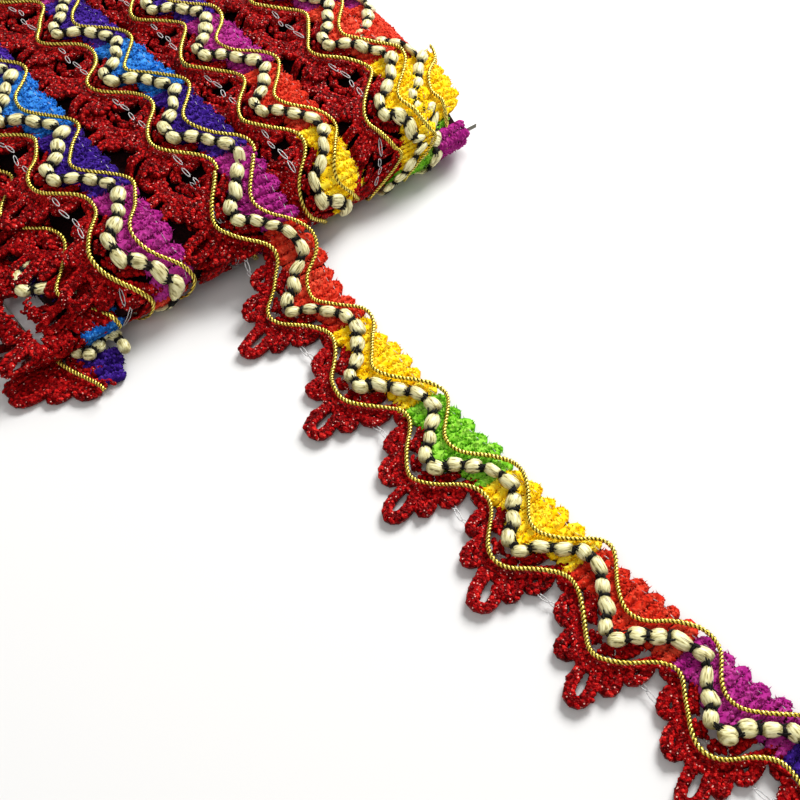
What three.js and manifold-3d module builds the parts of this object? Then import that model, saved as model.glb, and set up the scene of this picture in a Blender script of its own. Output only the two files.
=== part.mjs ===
// Crocheted lace ribbon wound on a white card, with one long loose end and the ribbon's short inner end.
// Millimetres, +Z up, lying on a table at z = 0. X runs along the wound turns towards the loose end.
import * as THREE from 'three';
import { mergeVertices } from 'three/addons/utils/BufferGeometryUtils.js';
import Module from 'manifold-3d';

const wasm = await Module();
wasm.setup();

// Trim pattern: w is the place along one repeat, from the crest of the zigzag; t is the place across the
// ribbon, positive towards the chenille edge and negative towards the looped petals.
const REPEAT = 23.5;
const GAP = 0.3;
const UPPER_CORD = { mid: 5.7, swing: 3.65, lag: -0.3 };
const LOWER_CORD = { mid: -4.15, swing: 3.75, lag: 0.5 };
const BRAID = { low: -4.6, rise: 10.2 };
const CORD_RADIUS = 0.7;
const BEAD = { halfWidth: 1.15, halfHeight: 0.9, waist: 0.55, perRepeat: 8 };
const GIMP = { thick: 2.0, edgeShare: 0.75 };
const CHENILLE = {
  thick: 2.4, valley: 0.5, edge: 9.9, edgeShare: 0.6, scallop: 0.9, tuftsPerRepeat: 6, firstTuft: 1.3,
};
const WEB = { mid: -0.9, swing: 1.3, doubled: 1.0 };
const STEPS_PER_REPEAT = { cord: 8, braid: 12, chenille: 18, gimp: 20 };
const PETAL_ROOT = -3.0;
const WEB_EDGE = -1.9;
const PETALS = [
  { w: -0.3, half: 1.4, tip: -2.9 },
  { w: 3.7, half: 2.3, tip: -8.0 },
  { w: 8.2, half: 2.7, tip: -12.6 },
  { w: 15.3, half: 3.2, tip: -17.7 },
  { w: 18.7, half: 2.1, tip: -12.4 },
  { w: 20.0, half: 2.1, tip: -8.2 },
];
const LONG_SLIT = { w: 15.2, t: -13.2, halfWidth: 0.65, halfLength: 1.9 };

// Card and wound turns. The four outer turns lie side by side; a fifth, lower one shows past the last.
const CARD = { length: 122.5, width: 112.5, thick: 1.2, z: 5.6, clear: 0.35 };
const SECTION = [
  { x: 50, z: 2.0 }, { x: 0, z: 2.0 }, { x: -50, z: 2.0 }, { x: -59, z: 2.4 }, { x: -63.4, z: 4.8 },
  { x: -60.5, z: 7.6 }, { x: -50, z: 8.8 }, { x: -28, z: 10.8 }, { x: 8, z: 14.2 }, { x: 33, z: 15.9 },
  { x: 48, z: 15.5 }, { x: 56, z: 14.2 }, { x: 61.2, z: 11.4 }, { x: 63.1, z: 7.8 }, { x: 62.2, z: 4.4 },
  { x: 58, z: 2.4 },
];
const SECTION_PITCH = { flat: 4.0, fold: 1.9, foldFrom: 55.5 };
const WOUND_REPEATS = 11;
const WOUND_SPREAD = 1.03;
const TURNS = [
  { y: -31.1, crest: -6.6 },
  { y: -4.85, crest: -3.8 },
  { y: 15.9, crest: 0.9 },
  { y: 40.55, crest: 14.7 },
];
const TURN_EDGE = { petals: -17.0, web: -9.2, chenille: 10.0, between: 0.4 };
const OUTER_END_TURN = { index: 1, sink: 3.5, relief: 0.3 };
const LOWER_TURN = { y: 44.25, crest: 8.0, drop: 6.0, rise: 0.8, edge: 0.5 };
const WOUND_LEFT = { y: -51.6, low: -56.4, scallop: 3.4, slotY: -51.0, height: -4.0, lip: 0.75, lowEnd: 55 };
const NOSE = { from: 55, to: 61, share: 0.65 };
const WOUND_RIGHT_SLOT_Y = 53.0;
const RELIEF = { notch: -1.5, petal: 1.8, gimp: 2.0, cord: 4.1, bead: 4.5, chenille: 2.4, shoulder: 1.2 };

// Loose end: it leaves the outer turn near the front fold, comes down in the air and lies on the table.
const LOOSE = {
  leaveX: 49.9, rampStart: 47.75, rampEnd: 82.75, leaveZ: 15.4,
  bendX: 122.55, bendY: -6.6, bendNear: 0.000724, bendFar: 0.00033,
  markX: 140.9, markS: 70.5, endS: 152, petalLimit: -14.9, limitUntil: 4,
};
const CREST_S = -2.0;
const ZONE_EDGE = 0.0;
const CHENILLE_COLOURS = {
  magenta: 0xb0208c, red: 0xe0321e, yellow: 0xffc400, green: 0x6cc22a, purple: 0x3e1a8c,
};
const LOOSE_ZONES = ['magenta', 'red', 'yellow', 'green', 'yellow', 'red', 'magenta', 'purple'];
const FIRST_ZONE = -1;

// Inner end: a short cut end of the same trim, flat on the table under the front left corner.
const TAIL = {
  x: 61.25, y: -54.15, turn: -0.22, w: 12.3, t: -7.9,
  gimpFrom: 8.0, gimpTo: 23.6, gimpLow: -9.0, gimpHigh: 0.8, cordFrom: 12.4, cordTo: 23.9,
  tuftFrom: 14.6, tuftTo: 23.2, tuftReach: 3.6, tuftScallop: 0.6, beads: 5,
};
const TAIL_PETALS = [
  { w: 9.4, half: 2.4, tip: -12.4 },
  { w: 14.2, half: 3.0, tip: -20.4 },
  { w: 19.0, half: 2.5, tip: -13.4 },
  { w: 21.6, half: 2.0, tip: -9.0 },
];
const TAIL_SLIT = { w: 14.2, t: -16.0, halfWidth: 0.65, halfLength: 1.9 };
const TAIL_BRAID = [
  { x: 63.6, y: -50.6 }, { x: 65.0, y: -48.3 }, { x: 64.9, y: -45.6 }, { x: 64.9, y: -42.9 },
  { x: 66.3, y: -41.5 }, { x: 68.3, y: -42.4 },
];

const COLOURS = { gimp: 0x8c0a1c, gold: 0xd9b23c, braid: 0xe8dfb4, card: 0xf6f5f3 };

const TAU = Math.PI * 2;
const wave = (w, lag) => Math.cos((TAU * (w - lag)) / REPEAT);
const upperCord = (w) => UPPER_CORD.mid + UPPER_CORD.swing * wave(w, UPPER_CORD.lag);
const lowerCord = (w) => LOWER_CORD.mid + LOWER_CORD.swing * wave(w, LOWER_CORD.lag);
const braidLine = (w) => BRAID.low + BRAID.rise * Math.abs(Math.cos((Math.PI * w) / REPEAT));
const webTop = (w) => WEB.mid + WEB.swing * wave(w, 0) - WEB.doubled * wave(2 * w, 0);

// Lower edge of the looped petals at w: the deepest of the rounded petals that cover it.
function petalEdge(w, petals, web) {
  let edge = web;
  for (const petal of petals) {
    for (const shift of [-REPEAT, 0, REPEAT]) {
      const across = (w - petal.w - shift) / petal.half;
      if (Math.abs(across) < 1) {
        const depth = (petal.tip - PETAL_ROOT) * Math.sqrt(1 - across * across);
        edge = Math.min(edge, PETAL_ROOT + depth);
      }
    }
  }
  return edge;
}

const inRepeat = (s) => ((((s - CREST_S) % REPEAT) + REPEAT) % REPEAT);

// How far a chenille tuft stands out at w: 1 in the middle of a tuft and 0 between two tufts.
function tuft(w) {
  const pitch = REPEAT / CHENILLE.tuftsPerRepeat;
  return Math.abs(Math.cos((Math.PI * (w - CHENILLE.firstTuft)) / pitch));
}

const chenilleEdge = (w) => CHENILLE.edge - CHENILLE.scallop * (1 - tuft(w));

// Turns a list of closed rings with equal point counts into one closed body.
function loft(rings, wrap) {
  const count = rings[0].length;
  const positions = rings.flat().flatMap((p) => [p.x, p.y, p.z]);
  const index = [];
  const last = wrap ? rings.length : rings.length - 1;
  for (let r = 0; r < last; r += 1) {
    const a = r * count;
    const b = ((r + 1) % rings.length) * count;
    for (let i = 0; i < count; i += 1) {
      const j = (i + 1) % count;
      index.push(a + i, b + i, b + j, a + i, b + j, a + j);
    }
  }
  if (!wrap) {
    capRing(index, 0, count, true);
    capRing(index, (rings.length - 1) * count, count, false);
  }
  const geometry = new THREE.BufferGeometry();
  geometry.setAttribute('position', new THREE.Float32BufferAttribute(positions, 3));
  geometry.setIndex(index);
  return facingOut(geometry);
}

// Closes a ring across its middle, from one side of the ring to the other.
function capRing(index, start, count, first) {
  for (let low = 0, high = count - 1; high - low > 1;) {
    const next = low + 1;
    index.push(...(first ? [low, next, high] : [low, high, next]).map((i) => start + i));
    low = next;
    if (high - low > 1) {
      index.push(...(first ? [low, high - 1, high] : [low, high, high - 1]).map((i) => start + i));
      high -= 1;
    }
  }
}

function signedVolume(geometry) {
  const p = geometry.getAttribute('position');
  const [a, b, c] = [new THREE.Vector3(), new THREE.Vector3(), new THREE.Vector3()];
  let sum = 0;
  for (let i = 0; i < geometry.index.count; i += 3) {
    a.fromBufferAttribute(p, geometry.index.getX(i));
    b.fromBufferAttribute(p, geometry.index.getX(i + 1));
    c.fromBufferAttribute(p, geometry.index.getX(i + 2));
    sum += a.dot(b.cross(c));
  }
  return sum;
}

function facingOut(geometry) {
  if (signedVolume(geometry) < 0) geometry.setIndex(Array.from(geometry.index.array).reverse());
  return geometry;
}

function toSolid(geometry) {
  const bare = new THREE.BufferGeometry();
  bare.setAttribute('position', geometry.getAttribute('position'));
  bare.setIndex(geometry.index);
  const merged = mergeVertices(bare, 1e-5);
  return new wasm.Manifold(new wasm.Mesh({
    numProp: 3,
    vertProperties: new Float32Array(merged.getAttribute('position').array),
    triVerts: new Uint32Array(merged.index.array),
  }));
}

function cutAway(geometry, tools) {
  let solid = toSolid(geometry);
  for (const tool of tools) solid = solid.subtract(toSolid(tool));
  const mesh = solid.getMesh();
  const cut = new THREE.BufferGeometry();
  cut.setAttribute('position', new THREE.Float32BufferAttribute(mesh.vertProperties, 3));
  cut.setIndex(Array.from(mesh.triVerts));
  return cut;
}

// Height of the loose end's underside above the table at x.
function looseHeight(x) {
  const f = THREE.MathUtils.clamp((x - LOOSE.rampStart) / (LOOSE.rampEnd - LOOSE.rampStart), 0, 1);
  return (LOOSE.leaveZ * (1 + Math.cos(Math.PI * f))) / 2;
}

function loosePoint(x) {
  const dx = x - LOOSE.bendX;
  const bend = dx < 0 ? LOOSE.bendFar : LOOSE.bendNear;
  return new THREE.Vector3(x, LOOSE.bendY + bend * dx * dx, looseHeight(x));
}

// Length along the loose end against x, so that a place along the ribbon can be found.
function looseLengths() {
  const step = 0.25;
  const samples = [{ x: LOOSE.leaveX, s: 0 }];
  for (let x = LOOSE.leaveX; samples.at(-1).s < LOOSE.endS + 2 * REPEAT; x += step) {
    const length = loosePoint(x).distanceTo(loosePoint(x + step));
    samples.push({ x: x + step, s: samples.at(-1).s + length });
  }
  const mark = samples.find((sample) => sample.x >= LOOSE.markX);
  const shift = LOOSE.markS - mark.s;
  return samples.map(({ x, s }) => ({ x, s: s + shift }));
}

const LENGTHS = looseLengths();
const LOOSE_START = LENGTHS[0].s;

function looseX(s) {
  const i = Math.max(1, LENGTHS.findIndex((sample) => sample.s >= s));
  const a = LENGTHS[i - 1];
  const b = LENGTHS[i];
  return a.x + ((b.x - a.x) * (s - a.s)) / (b.s - a.s);
}

// Place on the loose end: s along it, t across it, n above its underside.
function onLoose(s, t, n) {
  const x = looseX(s);
  const step = 0.2;
  const along = loosePoint(x + step).sub(loosePoint(x - step)).normalize();
  const side = new THREE.Vector3(-along.y, along.x, 0).normalize();
  const up = new THREE.Vector3().crossVectors(along, side);
  return loosePoint(x).addScaledVector(side, t).addScaledVector(up, n);
}

// Place on the inner end, which is flat and turned a little from the wound turns.
function onTail(w, t, n) {
  const along = new THREE.Vector3(Math.cos(TAIL.turn), Math.sin(TAIL.turn), 0);
  const side = new THREE.Vector3(-along.y, along.x, 0);
  return new THREE.Vector3(TAIL.x, TAIL.y, n)
    .addScaledVector(along, w - TAIL.w)
    .addScaledVector(side, t - TAIL.t);
}

const stepsBetween = (from, to, pitch) => {
  const count = Math.max(1, Math.round((to - from) / pitch));
  return Array.from({ length: count + 1 }, (_, i) => from + ((to - from) * i) / count);
};

// A sheet between a lower and an upper edge, flat underneath and domed or ridged on top.
function sheet(place, stations, lowEdge, highEdge, topAt) {
  const fractions = [0, 0.5, 1];
  const rings = stations.map((s) => {
    const low = lowEdge(s);
    const high = highEdge(s);
    const at = fractions.map((f) => low + (high - low) * f);
    const under = at.map((t) => place(s, t, 0));
    const over = at.map((t, i) => place(s, t, topAt(s, fractions[i])));
    return [...under, ...over.reverse()];
  });
  return loft(rings, false);
}

// A cord or braid whose middle line is given by centres; size(i) gives its half width and half height.
function strand(centres, sides, size) {
  const rings = centres.map((centre, i) => {
    const before = centres[Math.max(0, i - 1)];
    const after = centres[Math.min(centres.length - 1, i + 1)];
    const along = after.clone().sub(before).normalize();
    const side = new THREE.Vector3(-along.y, along.x, 0).normalize();
    const up = new THREE.Vector3().crossVectors(along, side);
    const { half, high } = size(i);
    return Array.from({ length: sides }, (_, k) => {
      const angle = (TAU * (k + 0.5)) / sides;
      return centre.clone()
        .addScaledVector(side, half * Math.cos(angle))
        .addScaledVector(up, high * Math.sin(angle));
    });
  });
  return loft(rings, false);
}

const CORD_HEIGHT = CHENILLE.thick + GAP + CORD_RADIUS;
const BEAD_HEIGHT = CHENILLE.thick + GAP + BEAD.halfHeight;
const cordSize = () => ({ half: CORD_RADIUS, high: CORD_RADIUS });

function goldCord(place, from, to, line) {
  const stations = stepsBetween(from, to, REPEAT / STEPS_PER_REPEAT.cord);
  return strand(stations.map((s) => place(s, line(s), CORD_HEIGHT)), 6, cordSize);
}

// Satin braid tied at even steps: it is wide at each bead and narrow at each tie.
function beadBraid(curve, beads) {
  const centres = curve.getSpacedPoints(beads * 2);
  return strand(centres, 6, (i) => {
    const share = i % 2 === 1 ? 1 : BEAD.waist;
    return { half: BEAD.halfWidth * share, high: BEAD.halfHeight * (share + 1) / 2 };
  });
}

function braidCurve(place, from, to) {
  const stations = stepsBetween(from, to, REPEAT / STEPS_PER_REPEAT.braid);
  const points = stations.map((s) => place(s, braidLine(inRepeat(s)), BEAD_HEIGHT));
  return new THREE.CatmullRomCurve3(points);
}

function slitTool(place, slit, shift) {
  const ring = (n) => Array.from({ length: 8 }, (_, k) => {
    const angle = (TAU * k) / 8;
    const w = slit.w + slit.halfWidth * Math.cos(angle);
    return place(w + shift, slit.t + slit.halfLength * Math.sin(angle), n);
  });
  return loft([ring(-1), ring(GIMP.thick + 1)], false);
}

function looseGimp() {
  const stations = stepsBetween(LOOSE_START, LOOSE.endS, REPEAT / STEPS_PER_REPEAT.gimp);
  const lowEdge = (s) => {
    const edge = petalEdge(inRepeat(s), PETALS, WEB_EDGE);
    return s < LOOSE.limitUntil ? Math.max(edge, LOOSE.petalLimit) : edge;
  };
  const highEdge = (s) => webTop(inRepeat(s));
  const topAt = (s, f) => GIMP.thick * (f === 0.5 ? 1 : GIMP.edgeShare);
  const body = sheet(onLoose, stations, lowEdge, highEdge, topAt);
  const tools = [];
  for (let crest = CREST_S; crest + LONG_SLIT.w < LOOSE.endS; crest += REPEAT) {
    tools.push(slitTool(onLoose, LONG_SLIT, crest));
  }
  return cutAway(body, tools);
}

function looseChenille(zone) {
  const from = Math.max(LOOSE_START, CREST_S + ZONE_EDGE + zone * REPEAT + GAP / 2);
  const to = Math.min(LOOSE.endS, CREST_S + ZONE_EDGE + (zone + 1) * REPEAT - GAP / 2);
  const stations = stepsBetween(from, to, REPEAT / STEPS_PER_REPEAT.chenille);
  const topAt = (s, f) => {
    const ridge = CHENILLE.thick - CHENILLE.valley * (1 - tuft(inRepeat(s)));
    return f === 1 ? ridge * CHENILLE.edgeShare : ridge;
  };
  const lowEdge = (s) => webTop(inRepeat(s)) + GAP;
  return sheet(onLoose, stations, lowEdge, (s) => chenilleEdge(inRepeat(s)), topAt);
}

function tailGimp() {
  const stations = stepsBetween(TAIL.gimpFrom, TAIL.gimpTo, REPEAT / STEPS_PER_REPEAT.gimp);
  const highEdge = (w) => (w < TAIL.tuftFrom ? lowerCord(w) + TAIL.gimpHigh : webTop(w));
  const lowEdge = (w) => petalEdge(w, TAIL_PETALS, TAIL.gimpLow);
  const body = sheet(onTail, stations, lowEdge, highEdge, () => GIMP.thick);
  return cutAway(body, [slitTool(onTail, TAIL_SLIT, 0)]);
}

function tailChenille() {
  const stations = stepsBetween(TAIL.tuftFrom, TAIL.tuftTo, REPEAT / STEPS_PER_REPEAT.chenille);
  const highEdge = (w) => webTop(w) + TAIL.tuftReach + TAIL.tuftScallop * tuft(w);
  return sheet(onTail, stations, (w) => webTop(w) + GAP, highEdge, () => CHENILLE.thick);
}

// Relief of one wound turn across its width: lines from the petals to the chenille edge.
function turnLines(turn, outer, w) {
  const lower = lowerCord(w);
  const braid = braidLine(w);
  const upper = upperCord(w);
  const petal = petalEdge(w, PETALS, WEB_EDGE);
  const middle = (outer + TURN_EDGE.web) / 2;
  const shoulder = lower - RELIEF.shoulder;
  const covered = (t) => (petal < t + RELIEF.shoulder ? RELIEF.petal : RELIEF.notch);
  const lines = [
    { t: outer, h: covered(outer) },
    { t: middle, h: covered(middle) },
    { t: shoulder, h: petal < shoulder ? RELIEF.gimp : RELIEF.notch / 3 },
    { t: lower, h: RELIEF.cord },
    { t: (lower + braid) / 2, h: RELIEF.gimp },
    { t: braid, h: RELIEF.bead },
    { t: (braid + upper) / 2, h: RELIEF.chenille },
    { t: upper, h: RELIEF.cord },
    { t: (upper + chenilleEdge(w) + RELIEF.shoulder) / 2, h: RELIEF.chenille },
    { t: TURN_EDGE.chenille - CHENILLE.scallop * (1 - tuft(w)), h: RELIEF.gimp },
  ];
  return lines.map(({ t, h }) => ({ y: turn.y + t * WOUND_SPREAD, h }));
}

// The petals of a turn show from where the chenille edge of the turn before it ends.
function firstShown(i) {
  if (i === 0) return TURN_EDGE.petals;
  const before = TURNS[i - 1].y + TURN_EDGE.chenille * WOUND_SPREAD;
  return Math.max(TURN_EDGE.petals, (before - TURNS[i].y) / WOUND_SPREAD + TURN_EDGE.between);
}

// The lower turn shows only past the last outer turn, so it has its cord and its chenille edge.
function lowerTurnLines(w) {
  const first = TURNS.at(-1).y + TURN_EDGE.chenille * WOUND_SPREAD + TURN_EDGE.between;
  const cordY = Math.max(first + LOWER_TURN.rise, LOWER_TURN.y + upperCord(w));
  const edgeY = Math.max(cordY + LOWER_TURN.edge, LOWER_TURN.y + chenilleEdge(w));
  return [
    { y: first, h: RELIEF.gimp - LOWER_TURN.drop },
    { y: cordY, h: RELIEF.cord - LOWER_TURN.drop },
    { y: edgeY, h: RELIEF.gimp - LOWER_TURN.drop },
  ];
}

function woundRibbon() {
  const curve = new THREE.CatmullRomCurve3(
    SECTION.map(({ x, z }) => new THREE.Vector3(x, 0, z)), true, 'centripetal');
  const length = curve.getLength();
  const pitch = length / WOUND_REPEATS;
  const even = [];
  for (let u = 0; u < 1 - SECTION_PITCH.fold / (2 * length);) {
    even.push(u);
    const folding = Math.abs(curve.getPointAt(u).x) > SECTION_PITCH.foldFrom;
    u += (folding ? SECTION_PITCH.fold : SECTION_PITCH.flat) / length;
  }
  const samples = 2000;
  const fine = Array.from({ length: samples }, (_, i) => i / samples);
  const topAtX = (x) => fine.find((u) => curve.getPointAt(u).z > CARD.z && curve.getPointAt(u).x >= x);
  const leaveU = topAtX(LOOSE.leaveX - 2 * GAP);
  const noseU = fine.findLast((u) => curve.getPointAt(u).z > CARD.z + 1);
  const origin = topAtX(0);
  const leaveStep = 0.0008;
  const places = [...even, leaveU, leaveU + leaveStep].sort((a, b) => a - b);
  const loopPoint = (u) => curve.getPointAt(u);
  const loopNormal = (u) => {
    const along = curve.getTangentAt(u);
    return new THREE.Vector3(-along.z, 0, along.x).normalize();
  };
  const phase = (u, crest) => ((((u - origin) * length - crest) / pitch) * REPEAT);
  const wrapW = (w) => ((w % REPEAT) + REPEAT) % REPEAT;
  const heightLimit = (x) => looseHeight(x) - 2 * GAP;

  const point = (u, y, h, isOuterEndTurn) => {
    const freed = isOuterEndTurn && u > leaveU + leaveStep / 2;
    const f = THREE.MathUtils.clamp((u - leaveU) / (noseU - leaveU), 0, 1);
    const height = freed ? h * OUTER_END_TURN.relief - OUTER_END_TURN.sink * (1 - f) : h;
    const p = loopPoint(u).addScaledVector(loopNormal(u), height);
    if (freed && p.z > CARD.z) p.z = Math.min(p.z, heightLimit(p.x));
    return new THREE.Vector3(p.x, y, Math.max(p.z, 0));
  };

  const rows = places.map((u) => {
    const left = leftEdge(loopPoint(u), wrapW(phase(u, 0)));
    const row = [{ y: left, h: WOUND_LEFT.height, end: false }];
    TURNS.forEach((turn, i) => {
      const lines = turnLines(turn, firstShown(i), wrapW(phase(u, turn.crest)));
      row.push(...lines.map((line) => ({ ...line, end: i === OUTER_END_TURN.index })));
    });
    const lower = lowerTurnLines(wrapW(phase(u, LOWER_TURN.crest)));
    row.push(...lower.map((line) => ({ ...line, end: false })));
    return row.map(({ y, h, end }) => point(u, y, flattened(u, h) * noseShare(u), end));
  });

  // The turns are drawn tight round the front fold, so they stand out less there.
  function noseShare(u) {
    const f = THREE.MathUtils.smoothstep(loopPoint(u).x, NOSE.from, NOSE.to);
    return THREE.MathUtils.lerp(1, NOSE.share, f);
  }

  // Left of the first turn the wound part is low, and it never closes in on the card.
  function flattened(u, h) {
    const low = loopPoint(u).z < CARD.z - WOUND_LEFT.height + 2;
    return low ? Math.max(h, -CARD.clear) : h;
  }

  const rings = rows[0].map((_, line) => rows.map((row) => row[line]));
  const slot = slotLoop(places.map(loopPoint));
  const lip = rows.map((row, i) => {
    const p = row[0].clone().lerp(new THREE.Vector3(slot[i].x, row[0].y, slot[i].z), WOUND_LEFT.lip);
    return p.setY(Math.max(p.y, WOUND_LEFT.low) + GAP);
  });
  rings.push(slot.map((p) => new THREE.Vector3(p.x, WOUND_RIGHT_SLOT_Y, p.z)));
  rings.push(slot.map((p) => new THREE.Vector3(p.x, WOUND_LEFT.slotY, p.z)));
  rings.push(lip);
  return loft(rings, true);
}

// Left edge of the wound part: the looped petals of the turns underneath, longest below the card.
function leftEdge({ x, z }, w) {
  const reach = petalEdge(w, PETALS, WEB_EDGE) / PETALS[3].tip;
  if (z > CARD.z + 1) return WOUND_LEFT.y - WOUND_LEFT.scallop * reach;
  const base = x < WOUND_LEFT.lowEnd ? WOUND_LEFT.low : WOUND_LEFT.y;
  return base - WOUND_LEFT.scallop * reach * (x < WOUND_LEFT.lowEnd ? 1 : 0);
}

// Loop around the card, a little clear of it, with one point for each point of the wound section. Each
// corner of the loop belongs to the section's point that is nearest to it, above or below the card.
function slotLoop(section) {
  const halfX = CARD.length / 2 + GAP;
  const halfZ = CARD.thick / 2 + GAP;
  const corners = [
    { x: halfX, z: -halfZ }, { x: -halfX, z: -halfZ }, { x: -halfX, z: halfZ }, { x: halfX, z: halfZ },
  ];
  const nearest = corners.map((corner) => {
    const target = new THREE.Vector3(corner.x, 0, CARD.z + 3 * corner.z);
    const distances = section.map((p) => p.distanceTo(target));
    return distances.indexOf(Math.min(...distances));
  });
  return section.map((_, i) => {
    for (let c = 0; c < corners.length; c += 1) {
      const next = (c + 1) % corners.length;
      const span = (nearest[next] - nearest[c] + section.length) % section.length;
      const offset = (i - nearest[c] + section.length) % section.length;
      if (offset < span) {
        const f = offset / span;
        const x = THREE.MathUtils.lerp(corners[c].x, corners[next].x, f);
        return { x, z: CARD.z + THREE.MathUtils.lerp(corners[c].z, corners[next].z, f) };
      }
    }
    return corners[0];
  });
}

const group = new THREE.Group();

function addPart(name, geometry, colour, roughness, metalness = 0) {
  const material = new THREE.MeshStandardMaterial({ color: colour, roughness, metalness });
  const mesh = new THREE.Mesh(geometry, material);
  mesh.name = name;
  group.add(mesh);
  return mesh;
}

const card = addPart('card', new THREE.BoxGeometry(CARD.length, CARD.width, CARD.thick), COLOURS.card, 0.6);
card.position.set(0, 0, CARD.z);

addPart('wound_ribbon', woundRibbon(), COLOURS.gimp, 0.5);

addPart('loose_petal_gimp', looseGimp(), COLOURS.gimp, 0.45);
LOOSE_ZONES.forEach((colour, i) => {
  addPart(`loose_chenille_${i + 1}_${colour}`, looseChenille(FIRST_ZONE + i), CHENILLE_COLOURS[colour], 0.9);
});
const upperLoose = goldCord(onLoose, LOOSE_START, LOOSE.endS, (s) => upperCord(inRepeat(s)));
const lowerLoose = goldCord(onLoose, LOOSE_START, LOOSE.endS, (s) => lowerCord(inRepeat(s)));
addPart('loose_upper_gold_cord', upperLoose, COLOURS.gold, 0.3, 0.9);
addPart('loose_lower_gold_cord', lowerLoose, COLOURS.gold, 0.3, 0.9);
const looseBeads = Math.round(((LOOSE.endS - LOOSE_START) / REPEAT) * BEAD.perRepeat);
addPart('loose_bead_braid', beadBraid(braidCurve(onLoose, LOOSE_START, LOOSE.endS), looseBeads),
  COLOURS.braid, 0.35);

addPart('tail_petal_gimp', tailGimp(), COLOURS.gimp, 0.45);
addPart('tail_chenille_purple', tailChenille(), CHENILLE_COLOURS.purple, 0.9);
const tailCord = goldCord(onTail, TAIL.cordFrom, TAIL.cordTo, lowerCord);
addPart('tail_lower_gold_cord', tailCord, COLOURS.gold, 0.3, 0.9);
const tailRoute = TAIL_BRAID.map(({ x, y }) => new THREE.Vector3(x, y, BEAD_HEIGHT));
addPart('tail_bead_braid', beadBraid(new THREE.CatmullRomCurve3(tailRoute), TAIL.beads), COLOURS.braid, 0.35);

// The origin is the middle of the underside of the whole part's box.
group.updateMatrixWorld(true);
const box = new THREE.Box3().setFromObject(group);
const middle = box.getCenter(new THREE.Vector3());
for (const mesh of group.children) mesh.position.sub(new THREE.Vector3(middle.x, middle.y, box.min.z));

export default group;
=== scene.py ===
"""Dressed model of a crocheted lace ribbon: turns wound on a white card, a loose end and a cut inner end.

The ribbon is worked out in its own flat coordinates (along, across and above it, in millimetres), and a lay
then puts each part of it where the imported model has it. Pieces become metres when their meshes are made.
"""

from __future__ import annotations

import logging
import math
import sys
from dataclasses import dataclass, field, replace
from enum import Enum, Flag, auto
from functools import partial
from typing import Any, Callable, ClassVar, Iterable, Sequence

import bpy
import numpy as np
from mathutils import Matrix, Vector

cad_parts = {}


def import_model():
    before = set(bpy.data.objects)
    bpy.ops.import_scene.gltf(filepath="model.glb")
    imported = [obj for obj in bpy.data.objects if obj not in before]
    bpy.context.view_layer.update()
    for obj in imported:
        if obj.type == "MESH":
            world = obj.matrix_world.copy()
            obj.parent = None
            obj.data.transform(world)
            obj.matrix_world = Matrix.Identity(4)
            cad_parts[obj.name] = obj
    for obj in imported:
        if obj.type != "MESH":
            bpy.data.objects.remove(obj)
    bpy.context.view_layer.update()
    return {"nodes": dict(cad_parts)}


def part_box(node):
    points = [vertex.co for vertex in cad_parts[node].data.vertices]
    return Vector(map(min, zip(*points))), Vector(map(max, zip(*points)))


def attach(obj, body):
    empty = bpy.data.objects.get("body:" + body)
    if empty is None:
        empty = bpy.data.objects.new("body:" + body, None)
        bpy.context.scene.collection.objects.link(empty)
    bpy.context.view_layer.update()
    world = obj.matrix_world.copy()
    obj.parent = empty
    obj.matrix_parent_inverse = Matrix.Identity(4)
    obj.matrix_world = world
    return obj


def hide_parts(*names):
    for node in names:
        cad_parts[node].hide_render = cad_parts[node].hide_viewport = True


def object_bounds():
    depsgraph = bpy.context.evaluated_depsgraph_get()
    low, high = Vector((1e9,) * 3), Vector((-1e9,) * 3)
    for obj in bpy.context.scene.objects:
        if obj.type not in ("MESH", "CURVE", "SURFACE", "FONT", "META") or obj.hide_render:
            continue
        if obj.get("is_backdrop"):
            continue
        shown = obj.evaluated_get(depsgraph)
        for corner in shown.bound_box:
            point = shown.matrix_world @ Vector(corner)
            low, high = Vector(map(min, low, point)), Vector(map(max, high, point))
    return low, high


log = logging.getLogger("lace_ribbon")

MM = 0.001
TAU = 2 * math.pi
UP = (0.0, 0.0, 1.0)
REPEAT = 23.5  # length of one zigzag of the trim, from crest to crest
BEYOND = 99.0  # further than any yarn reaches, for a limit that isn't set
FADE = (1.0, 14.0)  # distances from where the loose end leaves, between which its small shifts fade in
SPAN_SAMPLES = 10  # points of a smooth curve between two points of its guide
CAP_BULGE = 0.6  # how far a tube's rounded end stands out, in half widths
SEED = 1639
Keep = Callable[[np.ndarray], np.ndarray]
NodeMaker = Callable[..., bpy.types.Node]


def wave(w: np.ndarray) -> np.ndarray:
    """Zigzag of the trim: 1 at a crest and -1 half a repeat later."""
    return np.cos(TAU * np.asarray(w) / REPEAT)


def smoothstep(value: np.ndarray, low: float, high: float) -> np.ndarray:
    """0 below low, 1 above high and smooth between."""
    f = np.clip((np.asarray(value, float) - low) / (high - low), 0, 1)
    return f * f * (3 - 2 * f)


def unit(v: np.ndarray) -> np.ndarray:
    """Each row of v at length one."""
    return v / np.maximum(np.linalg.norm(v, axis=-1, keepdims=True), 1e-9)


def beside(ahead: np.ndarray) -> np.ndarray:
    """Level direction to the left of each heading."""
    return np.stack([-ahead[:, 1], ahead[:, 0], np.zeros(len(ahead))], 1)


@dataclass(frozen=True)
class CordLine:
    """Wavy line that a twisted cord follows: its middle, its swing, its lag past a crest and its skew."""

    mid: float
    swing: float
    lag: float
    skew: float = 0.0

    def at(self, w: np.ndarray) -> np.ndarray:
        """Place across the ribbon at w along it."""
        turn = TAU * (np.asarray(w) - self.lag) / REPEAT
        return self.mid + self.swing * np.cos(turn - self.skew * (1 - np.cos(turn)) / 2)


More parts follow.
